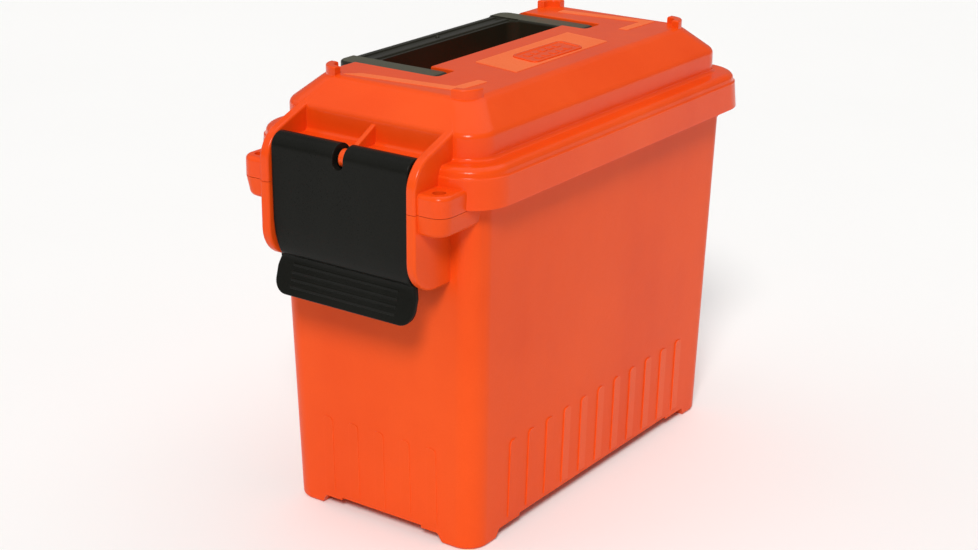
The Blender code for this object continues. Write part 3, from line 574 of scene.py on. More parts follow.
# the flanges beside the latch and the padlock ears, half on the lid and half on the tub;
# y values are measured from the tub's middle
cheekSizes = {
    "inner": 38.5 * mm, "thick": 5.0 * mm, "front": -135.82 * mm, "wallY": -105.0 * mm, "edge": 1.25 * mm,
    "lowEnd": 132.7 * mm, "lowCorner": 15.0 * mm,
    "topFront": 190.2 * mm, "topBack": 201.8 * mm, "topCorner": 10.5 * mm,
    "earIn": 41.0 * mm, "earOut": 57.0 * mm, "earFront": -134.0 * mm, "earTall": 9.3 * mm,
    "earCorner": 7.0 * mm, "earEdge": 2.1 * mm, "earNarrow": 1.6 * mm, "earBack": 1.0 * mm,
    "holeX": 50.0 * mm, "holeY": -127.02 * mm, "hole": 3.0 * mm, "holeReach": 20.0 * mm, "gap": 0.15 * mm,
}


def cheek(side, upper):
    size = cheekSizes
    low = splitZ + size["gap"] if upper else size["lowEnd"]
    high = size["topBack"] if upper else splitZ - size["gap"]
    front, back = midY + size["front"], midY + size["wallY"]
    outer = size["inner"] + size["thick"]
    piece = boxAcross("cheek", side, size["inner"], outer, (front, low), (back, high))
    if upper:
        slope = (0, 0, size["topFront"] - high)
        moveCorners(piece, lambda corner: near(corner.co.y, front) and near(corner.co.z, high), slope)
    cornerZ = size["topFront"] if upper else low
    splitFace = low if upper else high

    def onCorner(edge):
        return along(edge, 0) and near(middle(edge).y, front) and near(middle(edge).z, cornerZ)

    def onFree(edge):
        spot = middle(edge)
        return not along(edge, 0) and not near(spot.z, splitFace) and not near(spot.y, back)

    roundEdges(piece, onCorner, size["topCorner"] if upper else size["lowCorner"], 9)
    roundEdges(piece, onFree, size["edge"], 4)
    return piece


def ear(side, upper):
    size = cheekSizes
    low = splitZ + size["gap"] if upper else splitZ - size["gap"] - size["earTall"]
    high = low + size["earTall"]
    front, back = midY + size["earFront"], midY + size["wallY"]
    piece = boxAcross("ear", side, size["earIn"], size["earOut"], (front, low), (back, high))
    inX, outX = size["earIn"] * side, size["earOut"] * side

    def onCorner(edge):
        return along(edge, 2) and near(middle(edge).y, front) and near(middle(edge).x, outX)

    def onFree(edge):
        spot = middle(edge)
        return near(spot.z, high if upper else low) and not near(spot.y, back) and not near(spot.x, inX)

    roundEdges(piece, onCorner, size["earCorner"], 9)
    if not upper:  # the tub's half narrows a little downwards
        outside, forward = size["earOut"] - 12 * mm, front + 12 * mm
        narrow, backwards = (-size["earNarrow"] * side, 0, 0), (0, size["earBack"], 0)
        moveCorners(piece, lambda corner: near(corner.co.z, low) and abs(corner.co.x) > outside, narrow)
        moveCorners(piece, lambda corner: near(corner.co.z, low) and corner.co.y < forward, backwards)
    roundEdges(piece, onFree, size["earEdge"], 4)
    return piece


def padlockHoles():
    size = cheekSizes
    made = []
    for side in (-1, 1):
        x, y = side * size["holeX"], midY + size["holeY"]
        low, high = splitZ - size["holeReach"], splitZ + size["holeReach"]
        made.append(startRod("hole", size["hole"], (x, y, low), (x, y, high), 36))
    return joinInto(made[0], made[1:])


hingeSizes = {
    "knuckle": 5.0 * mm, "bore": 2.3 * mm, "boreReach": 20.0 * mm, "middleX": 32.0 * mm,
    "lidWide": 14.0 * mm, "tubWide": 9.0 * mm, "gap": 0.3 * mm, "edge": 0.6 * mm,
    "bracketIn": 0.25 * mm, "clear": 0.4 * mm,  # bracket narrower than its barrel, and off the split
    "tubRoot": 1.5 * mm, "tubUnder": 5.0 * mm, "tubFoot": -12.0 * mm, "tubSlope": -3.2 * mm,
    "lidRoot": 1.6 * mm, "lidTall": 3.0 * mm,
    "lidRise": 7.0 * mm, "lidSlope": -1.7 * mm, "lidUnder": -2.0 * mm,
}


def hingeKnuckle(name, centreX, wide, wallY, lowZ, highZ):
    # a barrel round the pin with its bracket to the wall
    axis = hingeAt["lid_hinge"]
    half = wide / 2
    barrel = startRod(
        name, hingeSizes["knuckle"], (centreX - half, axis.y, axis.z), (centreX + half, axis.y, axis.z)
    )
    roundEdges(barrel, lambda edge: not along(edge, 0), hingeSizes["edge"])
    half -= hingeSizes["bracketIn"]
    bracket = startBox(name + "Bracket", (centreX - half, wallY, lowZ), (centreX + half, axis.y, highZ))
    return barrel, bracket


def tubKnuckles(tub):
    size = hingeSizes
    axis = hingeAt["lid_hinge"]
    offset = (size["lidWide"] + size["tubWide"]) / 2 + size["gap"]
    wallY = midY + tubHalf(0)[1] + size["tubRoot"]
    low, high = axis.z - size["tubUnder"], splitZ - size["clear"]
    for side in (-1, 1):
        for end in (-1, 1):
            x = side * size["middleX"] + end * offset
            barrel, bracket = hingeKnuckle("tubKnuckle", x, size["tubWide"], wallY, low, high)
            moveCorners(
                bracket, lambda corner: near(corner.co.y, wallY) and corner.co.z < axis.z,
                (0, 0, size["tubFoot"]),
            )
            moveCorners(
                bracket, lambda corner: near(corner.co.y, axis.y) and corner.co.z > axis.z,
                (0, size["tubSlope"], 0),
            )
            addTo(tub, bracket, barrel)


def lidKnuckles(lid):
    size = hingeSizes
    axis = hingeAt["lid_hinge"]
    wallY = midY + lidSizes["rimY"] - size["lidRoot"]
    low, high = splitZ + size["clear"], splitZ + size["lidTall"]
    halfway = (low + high) / 2
    moves = (  # where along Y, whether the upper corners, and how far they rise
        (wallY, True, size["lidRise"]), (axis.y, False, size["lidUnder"]), (axis.y, True, size["lidSlope"]),
    )
    for side in (-1, 1):
        x = side * size["middleX"]
        barrel, bracket = hingeKnuckle("lidKnuckle", x, size["lidWide"], wallY, low, high)
        for y, isUpper, rise in moves:
            moveCorners(
                bracket, lambda corner: near(corner.co.y, y) and (corner.co.z > halfway) == isUpper,
                (0, 0, rise),
            )
        addTo(lid, bracket, barrel)


def hingeBores():
    axis = hingeAt["lid_hinge"]
    reach = hingeSizes["boreReach"]
    made = []
    for side in (-1, 1):
        x = side * hingeSizes["middleX"]
        start, stop = (x - reach, axis.y, axis.z), (x + reach, axis.y, axis.z)
        made.append(startRod("bore", hingeSizes["bore"], start, stop, 32))
    return joinInto(made[0], made[1:])


catchSizes = {
    "half": 34.0 * mm, "z": 148.0 * mm, "thick": 4.0 * mm, "front": -126.02 * mm, "wall": -105.0 * mm,
    "edge": 0.8 * mm, "gussetThick": 2.5 * mm, "gussetFront": -122.0 * mm, "gussetTall": 14.0 * mm,
    "gussetSlope": 9.5 * mm, "overlap": 1.0 * mm,
}


def addCatch(tub):
    # the shelf that the latch's hook closes against, on three gussets
    size = catchSizes
    low, high = size["z"] - size["thick"] / 2, size["z"] + size["thick"] / 2
    front, wall = midY + size["front"], midY + size["wall"]
    shelf = startBox("shelf", (-size["half"], front, low), (size["half"], wall, high))
    roundEdges(shelf, lambda edge: near(middle(edge).y, front), size["edge"])
    addTo(tub, shelf)
    gussetY, gussetLow = midY + size["gussetFront"], low - size["gussetTall"]
    for number in (-1, 0, 1):
        x = number * size["half"] * 2 / 3
        half = size["gussetThick"] / 2
        gusset = startBox("gusset", (x - half, gussetY, gussetLow), (x + half, wall, low + size["overlap"]))
        moveCorners(
            gusset, lambda corner: near(corner.co.z, gussetLow) and near(corner.co.y, gussetY),
            (0, size["gussetSlope"], 0),
        )
        addTo(tub, gusset)


def tubCollar():
    # the ledge round the tub that the lid's rim comes down to
    size = tubSizes
    low = splitZ + size["collarLow"]
    half = grown(tubHalf(low), size["collarOut"])
    collar = taperedBlock("collar", half, half, size["collarCorner"], low, low + size["collarTall"])
    roundEdges(collar, lambda edge: not along(edge, 2), size["collarEdge"])
    return collar


def tubInside():
    size = tubSizes
    above = size["top"] + 5 * mm
    inside = taperedBlock(
        "inside", grown(tubHalf(size["floor"]), -size["wall"]), grown(tubHalf(above), -size["wall"]),
        size["insideCorner"], size["floor"], above,
    )
    roundEdges(inside, lambda edge: near(middle(edge).z, size["floor"]), size["floorEdge"], 4)
    return inside


def makeTub(finish, ribLight):
    size = tubSizes
    tub = taperedBlock("tub", tubHalf(0), tubHalf(size["top"]), size["corner"], 0, size["top"], 12)
    roundEdges(tub, lambda edge: near(middle(edge).z, 0), size["bottomEdge"], 4)
    addTo(tub, tubCollar())
    for side in (-1, 1):
        addTo(tub, cheek(side, False), ear(side, False))
    addCatch(tub)
    addTo(tub, wallRibs())
    tubKnuckles(tub)
    cutFrom(tub, *footGaps(), padlockHoles(), hingeBores())
    cutFrom(tub, tubInside())
    # the rear ribs' raised faces take the second finish, a painted highlight
    colourFaces(tub, (finish, ribLight), onLitRibFace)
    finishMesh(tub)
    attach(tub, "tub")
    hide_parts("body_tub")
    print("tub made:", len(tub.data.polygons), "faces")


lidSizes = {
    "rimX": 67.52 * mm, "rimY": 119.92 * mm, "rimCorner": 20.4 * mm, "rimEdge": 0.45 * mm,
    "rimSteps": (  # inset and height, in millimetres: the face leans in, then rounds over to the top
        (0.92, 13.45), (1.35, 13.75), (1.62, 14.25), (1.72, 15.6), (2.0, 16.5),
        (2.6, 17.3), (3.5, 17.87), (4.6, 18.16), (5.6, 18.2),
    ),
    "domeX": 56.12 * mm, "domeY": 108.52 * mm, "domeCorner": 12.0 * mm,
    "footOut": 2.2 * mm, "footLow": 14.0 * mm, "footHigh": 17.9 * mm,
    "domeSteps": (  # a hollow curve at the dome's foot, then its sloped wall with both edges softened
        (-1.7, 18.05), (-0.95, 18.35), (-0.4, 18.8), (-0.08, 19.45), (0.0, 20.2),
        (0.0, 27.86), (0.087, 28.69), (0.346, 29.49), (0.764, 30.21), (1.27, 30.79),
        (11.2, 40.0), (12.2, 40.8), (13.2, 41.35), (14.3, 41.75), (15.6, 42.0),
    ),
    "top": 42.0 * mm, "latchBore": 2.5 * mm, "latchBoreReach": 41.6 * mm,
    "socket": 3.3 * mm, "socketDeep": 2.3 * mm,
}


def stepsOf(pairs, halfX, halfY):
    return [(halfX - inset * mm, halfY - inset * mm, splitZ + height * mm) for inset, height in pairs]


def lidBody():
    size = lidSizes
    low = splitZ + cheekSizes["gap"]
    rim = (size["rimX"], size["rimY"])
    inset, height = size["rimSteps"][0]
    rimTop = grown(rim, -inset * mm)
    lid = taperedBlock("lid", rim, rimTop, size["rimCorner"], low, splitZ + height * mm, 14)
    stepUp(lid, stepsOf(size["rimSteps"][1:], *rim), (0, midY))
    roundEdges(lid, lambda edge: near(middle(edge).z, low), size["rimEdge"], 2)
    foot = grown((size["domeX"], size["domeY"]), size["footOut"])
    dome = taperedBlock(
        "dome", foot, foot, size["domeCorner"] + size["footOut"],
        splitZ + size["footLow"], splitZ + size["footHigh"], 14,
    )
    stepUp(dome, stepsOf(size["domeSteps"], size["domeX"], size["domeY"]), (0, midY))
    addTo(lid, dome)
    return lid


# the well that the handle folds into: a slot for its grip, one for each arm, and room for fingers
recessSizes = {
    "armOut": 69.6 * mm, "armIn": 55.4 * mm, "armEnd": 6.1 * mm, "gripIn": -38.9 * mm, "side": -70.0 * mm,
    "floor": 190.4 * mm, "above": 50.0 * mm, "corner": 2.2 * mm, "wall": 2.6 * mm, "rimEdge": 0.6 * mm,
    "pocketLow": 184.0 * mm, "pocketEdge": -8.0 * mm, "pocketRound": 2.5 * mm,
    "pocketUnder": (4.0 * mm, 2.0 * mm),  # how far the finger room runs on under the slots
}


def recessBlocks(grow):
    # the well's blocks, each grown by that much, so that they also give its walls from below
    size = recessSizes
    above = splitZ + size["above"]
    low, armOut = size["floor"] - grow, size["armOut"] + grow
    grip = startBox(
        "recess", (size["side"], midY - armOut, low), (size["gripIn"] + grow, midY + armOut, above)
    )
    made = [grip]
    endX = size["armEnd"] + grow
    for end in (-1, 1):
        y0, y1 = midY + end * (size["armIn"] - grow), midY + end * armOut
        arm = startBox("recessArm", (size["side"] + 1 * mm, min(y0, y1), low), (endX, max(y0, y1), above))
        roundEdges(arm, lambda edge: along(edge, 2) and near(middle(edge).x, endX), size["corner"], 4)
        made.append(arm)
    underX, underY = size["pocketUnder"]
    reach = size["armIn"] + underY + grow
    floor = size["pocketLow"] - grow
    pocket = startBox(
        "pocket", (size["gripIn"] - underX - grow, midY - reach, floor),
        (size["pocketEdge"] + grow, midY + reach, above),
    )
    roundEdges(pocket, lambda edge: near(middle(edge).z, floor), size["pocketRound"], 4)
    made.append(pocket)
    return made


def softenRecess(lid):
    # rounds the rim of the handle's well where it opens in the flat top
    top = splitZ + lidSizes["top"]

    def onRim(edge):
        a, b = ends(edge)
        flat = near(a.z, top, 0.05 * mm) and near(b.z, top, 0.05 * mm)
        return flat and len(edge.link_faces) == 2 and edge.calc_face_angle(0) > 1.0

    roundEdges(lid, onRim, recessSizes["rimEdge"])


lugSizes = {
    "centreX": 33.6 * mm, "centreY": 86.0 * mm, "outer": 9.2 * mm, "thick": 4.0 * mm,
    "low": 207.0 * mm, "high": 215.5 * mm, "straight": 1.0 * mm, "edge": 0.7 * mm,
}


def cornerLug():
    # an arc spun from its end section, at the corner in +X and +Y
    size = lugSizes
    x, y = size["centreX"], midY + size["centreY"]
    inner = size["outer"] - size["thick"]
    low = (x + inner, y - size["straight"], size["low"])
    lug = startBox("lug", low, (x + size["outer"], y, size["high"]))
    pick(lug, "FACE", lambda face: face.normal.y > 0.9)
    bpy.ops.mesh.spin(steps=9, angle=-math.radians(90), center=(x, y, 0), axis=(0, 0, 1))  # from +X to +Y
    bpy.ops.mesh.extrude_region_move(TRANSFORM_OT_translate={"value": (-size["straight"], 0, 0)})
    bpy.ops.mesh.select_all(action="SELECT")
    bpy.ops.mesh.remove_doubles(threshold=0.002 * mm)
    faceOutwards()
    if max(corner[1] for corner in lug.bound_box) < y + inner:
        raise RuntimeError("the lug was spun the wrong way")

    def onTop(edge):
        return near(middle(edge).z, size["high"]) and edge.calc_face_angle(0) > 1.0

    roundEdges(lug, onTop, size["edge"])
    return lug


def cornerLugs():
    lug = cornerLug()
    across = copyOf(lug, flip=0)
    behind = [copyOf(first, (0, 2 * midY, 0), 1) for first in (lug, across)]
    return joinInto(lug, [across, *behind])


# outlines are (x, y from the tub's middle) in millimetres
panelSizes = {
    "proud": 0.22 * mm, "edge": 0.12 * mm, "root": 0.4 * mm, "corner": 0.8 * mm,
    "outlines": (  # the panel round the label plate, then the front and rear strips with their short legs
        ((3.6, -36.5), (30.3, -41.5), (30.3, 37.5), (3.6, 42.5)),
        ((-31.0, -91.6), (28.6, -85.2), (30.4, -64.0), (25.0, -64.0), (23.4, -79.6), (-25.0, -85.6)),
        ((-27.0, 80.0), (20.0, 85.0), (19.6, 65.0), (24.6, 65.0), (25.6, 91.0), (-27.0, 85.8)),
    ),
}

labelSizes = {
    "outline": ((11.0, -18.5), (28.0, -22.5), (29.0, 18.5), (12.0, 22.5)), "proud": 0.95 * mm,
    "root": 2.0 * mm, "corner": 3.6 * mm, "rim": 1.3 * mm, "sunk": 0.4 * mm, "edge": 0.35 * mm,
    # plain raised bars in two rows; rows, pitch and skew are in millimetres
    "rows": (16.8, 23.4), "count": 5, "pitch": 6.1, "skew": 0.05, "skewFrom": 20,
    "barX": 1.9 * mm, "barY": 2.2 * mm, "barTall": 0.3 * mm, "barRoot": 0.5 * mm,
    "barCorner": 0.9 * mm, "barEdge": 0.18 * mm,
}


def topPlate(name, outline, low, high):
    # a flat polygon whose corners are moved to the outline, then extruded upwards
    clearChoice()
    bpy.ops.mesh.primitive_circle_add(vertices=len(outline), radius=10 * mm, fill_type="NGON")
    plate = bpy.context.object
    plate.name = plate.data.name = name
    spots = [corner.co.copy() for corner in plate.data.vertices]
    order = sorted(range(len(outline)), key=lambda index: math.atan2(spots[index].y, spots[index].x))
    starts = [spots[index] for index in order]
    for index, start, (x, y) in zip(order, starts, outline):
        shift = (x * mm - start.x, midY + y * mm - start.y, low)
        moveCorners(plate, lambda corner: corner.index == index, shift)
    pick(plate, "FACE", lambda face: True)
    bpy.ops.mesh.extrude_region_move(TRANSFORM_OT_translate={"value": (0, 0, high - low)})
    faceOutwards()
    return plate


def labelBars(floor):
    size = labelSizes
    low, high = floor - size["barRoot"], floor + size["barTall"]
    halfX, halfY = size["barX"], size["barY"]
    first = startBox("mark", (-halfX, midY - halfY, low), (halfX, midY + halfY, high))
    roundEdges(first, lambda edge: along(edge, 2), size["barCorner"])
    roundEdges(first, lambda edge: near(middle(edge).z, high), size["barEdge"], 2)
    bars = []
    for x in size["rows"]:
        for number in range(size["count"]):
            y = (number - (size["count"] - 1) / 2) * size["pitch"] - (x - size["skewFrom"]) * size["skew"]
            bars.append(copyOf(first, (x * mm, y * mm, 0)))
    bpy.data.objects.remove(first, do_unlink=True)
    return joinInto(bars[0], bars[1:])


def labelPlate():
    size = labelSizes
    high = splitZ + lidSizes["top"] + size["proud"]
    plate = topPlate("labelPlate", size["outline"], high - size["root"], high)
    roundEdges(plate, lambda edge: along(edge, 2), size["corner"], 7)
    pick(plate, "FACE", lambda face: face.normal.z > 0.9)
    bpy.ops.mesh.inset(thickness=size["rim"], depth=0)
    bpy.ops.mesh.inset(thickness=size["edge"], depth=-size["sunk"])
    closeEdit()

    def onRim(edge):
        return near(middle(edge).z, high) and edge.calc_face_angle(0) > 1.2

    roundEdges(plate, onRim, size["edge"])
    addTo(plate, labelBars(high - size["sunk"]))
    return plate


staySizes = {
    "half": 1.3 * mm, "eye": 4.2 * mm, "front": 6.0 * mm, "frontTop": 4.4 * mm,
    "back": -106.0 * mm, "top": 28.6 * mm, "edge": 0.6 * mm,
}


def addLatchStay(lid):
    # the web on the lid's slope that holds the middle of the latch's axle
    size = staySizes
    axle = hingeAt["latch_hinge"]
    top = splitZ + size["top"]
    stay = startBox(
        "stay", (-size["half"], axle.y, axle.z - size["eye"]), (size["half"], midY + size["back"], top)
    )
    slope = (0, size["front"], axle.z + size["frontTop"] - top)
    moveCorners(stay, lambda corner: near(corner.co.y, axle.y) and corner.co.z > axle.z, slope)

    def onTop(edge):
        a, b = ends(edge)
        return not along(edge, 0) and middle(edge).z > axle.z and abs(a.y - b.y) > 5 * mm

    roundEdges(stay, onTop, size["edge"])
    eye = startRod("stayEye", size["eye"], (-size["half"], axle.y, axle.z), (size["half"], axle.y, axle.z))
    addTo(lid, stay, eye)


hollowSizes = {
    "skirt": 3.2 * mm, "low": -3.0 * mm, "ceiling": 8.0 * mm,
    "wall": 3.0 * mm, "corner": 9.0 * mm, "shoulder": 27.5 * mm, "slope": 12.2 * mm,
    "sealPast": 0.4 * mm, "sealWide": 3.8 * mm, "sealDeep": 3.3 * mm, "sealCorner": 11.4 * mm,
    "channelIn": 3.6 * mm, "channelWide": 2.6 * mm, "channelTop": 14.3 * mm,
}


def cutRing(lid, half, corner, wide, low, high):
    # a groove that runs round the lid's underside
    ring = taperedBlock("ring", half, half, corner, low - 1 * mm, high, 8)
    inside = grown(half, -wide)
    core = taperedBlock("ringCore", inside, inside, corner - wide, low - 2 * mm, high + 1 * mm, 8)
    cutFrom(ring, core)
    cutFrom(lid, ring)


def hollowLid(lid):
    # the space inside the rim's skirt and the dome, less the walls of the handle's well
    size = hollowSizes
    rim = (lidSizes["rimX"], lidSizes["rimY"])
    ceiling = splitZ + size["ceiling"]
    half = grown(rim, -size["skirt"])
    inner = taperedBlock(
        "hollow", half, half, lidSizes["rimCorner"] - size["skirt"], splitZ + size["low"], ceiling, 10
    )
    half = grown((lidSizes["domeX"], lidSizes["domeY"]), -size["wall"])
    upper = taperedBlock(
        "hollowDome", half, half, size["corner"], ceiling - 1 * mm, splitZ + size["shoulder"], 8
    )
    top = (*grown(half, -size["slope"]), splitZ + lidSizes["top"] - size["wall"])
    stepUp(upper, [top], (0, midY))
    addTo(inner, upper)
    for block in recessBlocks(recessSizes["wall"]):
        cutFrom(inner, block)
    cutFrom(lid, inner)
    seal = grown(tubHalf(tubSizes["top"]), size["sealPast"])
    cutRing(lid, seal, size["sealCorner"], size["sealWide"], ceiling, ceiling + size["sealDeep"])
    channelCorner = lidSizes["rimCorner"] - size["channelIn"]
    channelTop = splitZ + size["channelTop"]
    cutRing(lid, grown(rim, -size["channelIn"]), channelCorner, size["channelWide"], ceiling, channelTop)


def cutPivots(lid):
    # bores for the latch's axle, and blind sockets for the handle's trunnions
    size = lidSizes
    axle, pivot = hingeAt["latch_hinge"], hingeAt["handle_hinge"]
    reach = size["latchBoreReach"]
    bore = startRod("latchBore", size["latchBore"], (-reach, axle.y, axle.z), (reach, axle.y, axle.z), 32)
    cutFrom(lid, bore)
    for end in (-1, 1):
        y = midY + end * recessSizes["armOut"]
        start, stop = (pivot.x, y - end * 1 * mm, pivot.z), (pivot.x, y + end * size["socketDeep"], pivot.z)
        cutFrom(lid, startRod("socket", size["socket"], start, stop, 32))


def texturedPanels(finishes):
    size = panelSizes
    top = splitZ + lidSizes["top"]
    panels = []
    for outline in size["outlines"]:
        panel = topPlate("panel", outline, top - size["root"], top + size["proud"])
        roundEdges(panel, lambda edge: along(edge, 2), size["corner"])
        roundEdges(panel, lambda edge: near(middle(edge).z, top + size["proud"]), size["edge"], 2)
        # the whole panel takes the textured finish, paler with painted haze
        colourFaces(panel, finishes, lambda face: True)
        panels.append(panel)
    return panels


def makeLid(finish, textured):
    lid = lidBody()
    cutFrom(lid, *recessBlocks(0))
    softenRecess(lid)
    addTo(lid, cornerLugs())
    addTo(lid, labelPlate())
    for side in (-1, 1):
        addTo(lid, cheek(side, True), ear(side, True))
    addLatchStay(lid)
    lidKnuckles(lid)
    hollowLid(lid)
    cutFrom(lid, padlockHoles(), hingeBores())
    cutPivots(lid)
    colourFaces(lid, (finish, textured), lambda face: False)
    joinInto(lid, texturedPanels((finish, textured)))
    finishMesh(lid)
    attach(lid, "lid")
    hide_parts("lid_shell")
    print("lid made:", len(lid.data.polygons), "faces")


latchSizes = {
    "half": 38.2 * mm, "face": -133.82 * mm, "thick": 3.0 * mm, "barrel": 6.5 * mm, "edge": 0.75 * mm,
    # how far the plate's face lies behind its top, at each drop below the axle, in millimetres
    "plate": (
        (0.0, 12.0), (0.1, 24.0), (0.25, 34.0), (0.7, 40.0),
        (1.5, 45.0), (2.5, 48.6), (3.4, 50.0), (4.6, 51.0),
    ),
    "lip": ((4.7, 52.4), (3.6, 56.5), (2.2, 61.4), (-0.1, 68.7)),
    "waist": ((40.0, 0.993), (45.0, 0.978), (48.6, 0.965), (50.0, 0.962)),  # drop, and share of the width
    "lipHalf": 39.4 * mm, "lipFrom": 53.0 * mm, "lipCorner": 6.8 * mm,
    "ridges": (54.6, 57.9, 61.2, 64.5), "ridgeHalf": 30.0 * mm, "ridgeTall": 1.5 * mm,
    "ridgeProud": 0.45 * mm, "ridgeRoot": 1.2 * mm, "ridgeRound": 0.4 * mm,
    "hookRoot": 1.5 * mm, "hookReach": 7.5 * mm, "hookTall": 4.2 * mm,
    "hookGap": 0.3 * mm, "hookRound": 0.7 * mm,
    "notch": 2.9 * mm, "notchDrop": 4.0 * mm, "notchRound": 2.8 * mm, "notchEdge": 0.35 * mm,
    "axle": 2.2 * mm, "axleReach": 41.2 * mm,
}


def latchPlate():
    # a short plate drawn down through its sections, to the finger lip
    size = latchSizes
    axle = hingeAt["latch_hinge"]
    face = midY + size["face"]
    place = size["plate"][0]
    plate = startBox(
        "latch", (-size["half"], face, axle.z - place[1] * mm), (size["half"], face + size["thick"], axle.z)
    )
    pick(plate, "FACE", lambda part: part.normal.z < -0.9)
    for inset, drop in size["plate"][1:] + size["lip"]:
        shift = (0, (inset - place[0]) * mm, (place[1] - drop) * mm)
        bpy.ops.mesh.extrude_region_move(TRANSFORM_OT_translate={"value": shift})
        place = (inset, drop)
    closeEdit()
    for drop, share in size["waist"]:
        stretchCorners(plate, lambda corner: near(corner.co.z, axle.z - drop * mm), (share, 1, 1))
    lipTop = axle.z - size["lipFrom"]
    stretchCorners(plate, lambda corner: corner.co.z < lipTop, (size["lipHalf"] / size["half"], 1, 1))
    lipLow = axle.z - place[1] * mm
    side = size["ridgeHalf"]  # edges past this are at the plate's sides

    def onLipCorner(edge):
        return along(edge, 1) and abs(middle(edge).x) > side and near(middle(edge).z, lipLow)

    def onOutline(edge):
        spot = middle(edge)
        return edge.calc_face_angle(0) > 1.0 and (abs(spot.x) > side or spot.z < lipLow + 1 * mm)

    roundEdges(plate, onLipCorner, size["lipCorner"], 8)
    roundEdges(plate, onOutline, size["edge"])
    return plate


def lipRidges():
    # grip bars across the sloping lip
    size = latchSizes
    (topInset, topDrop), (endInset, endDrop) = size["lip"][0], size["lip"][-1]
    slope = (endInset - topInset) / (endDrop - topDrop)
    half = size["ridgeTall"] / 2
    bars = []
    for drop in size["ridges"]:
        z = hingeAt["latch_hinge"].z - drop * mm
        y = midY + size["face"] + (topInset + slope * (drop - topDrop)) * mm
        low = (-size["ridgeHalf"], y - size["ridgeProud"], z - half)
        bar = startBox("ridge", low, (size["ridgeHalf"], y + size["ridgeRoot"], z + half))
        roundEdges(bar, lambda edge: not along(edge, 1) and middle(edge).y < y, size["ridgeRound"])
        bars.append(bar)
    return joinInto(bars[0], bars[1:])


def latchHook():
    # the bar behind the plate that closes under the tub's shelf
    size = latchSizes
    face = midY + size["face"]
    top = catchSizes["z"] - catchSizes["thick"] / 2 - size["hookGap"]
    back = face + size["hookReach"]
    low = (-catchSizes["half"], face + size["hookRoot"], top - size["hookTall"])
    hook = startBox("hook", low, (catchSizes["half"], back, top))
    roundEdges(hook, lambda edge: along(edge, 0) and near(middle(edge).y, back), size["hookRound"])
    return hook


def cutNotch(latch):
    # the gap in the barrel that clears the lid's stay
    size = latchSizes
    axle = hingeAt["latch_hinge"]
    face, half = midY + size["face"], size["notch"]
    back = face + 20 * mm
    low = (-half, face - 6 * mm, axle.z - size["notchDrop"])
    notch = startBox("notch", low, (half, back, axle.z + 12 * mm))
    roundEdges(notch, lambda edge: along(edge, 1) and middle(edge).z < axle.z, size["notchRound"], 7)
    half += 0.01 * mm
    behind = startBox("behind", (-half, face + size["thick"], axle.z - 13 * mm), (half, back, axle.z))
    cutFrom(latch, notch, behind)


def makeLatch(finish):
    size = latchSizes
    axle = hingeAt["latch_hinge"]
    latch = latchPlate()
    half, reach = size["half"], size["axleReach"]
    barrel = startRod("barrel", size["barrel"], (-half, axle.y, axle.z), (half, axle.y, axle.z), 72)
    roundEdges(barrel, lambda edge: not along(edge, 0), size["edge"])
    addTo(latch, barrel, lipRidges(), latchHook())
    cutNotch(latch)
    addTo(latch, startRod("axle", size["axle"], (-reach, axle.y, axle.z), (reach, axle.y, axle.z), 32))

    def onNotch(edge):
        spot = middle(edge)
        away = math.hypot(spot.y - axle.y, spot.z - axle.z)
        inside = abs(spot.x) < size["notch"] + 0.02 * mm and spot.y < axle.y
        return inside and edge.calc_face_angle(0) > 1.0 and away > size["barrel"] - 0.3 * mm

    roundEdges(latch, onNotch, size["notchEdge"])
    latch.data.materials.clear()
    latch.data.materials.append(finish)
    finishMesh(latch)
    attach(latch, "latch")
    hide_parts("front_latch")
    print("latch made:", len(latch.data.polygons), "faces")


bailSizes = {
    "out": -54.0 * mm, "in": -39.5 * mm, "armOut": 69.0 * mm, "armIn": 56.0 * mm, "corner": 6.0 * mm,
    "edge": 1.3 * mm, "eye": 5.5 * mm, "eyeIn": 0.02 * mm, "step": 1.2 * mm, "wall": 3.0 * mm,
    "underFrom": -26.0 * mm, "underTo": -10.0 * mm, "armHollow": -16.5 * mm,
    "dipEnd": 0.8 * mm, "dipIn": 4.0 * mm, "dipRound": 0.8 * mm,
    "bands": ((-52.6, -49.6), (-44.6, -41.6)), "bandEnd": 1.5 * mm, "bandRoot": 3.0 * mm,
    "bandProud": 0.7 * mm, "bandRound": 0.65 * mm,
    "pip": (-47.0, 2.0), "pipRadius": 1.1 * mm,
    "trunnion": 3.0 * mm, "trunnionIn": 3.0 * mm, "trunnionOut": 2.6 * mm,
}


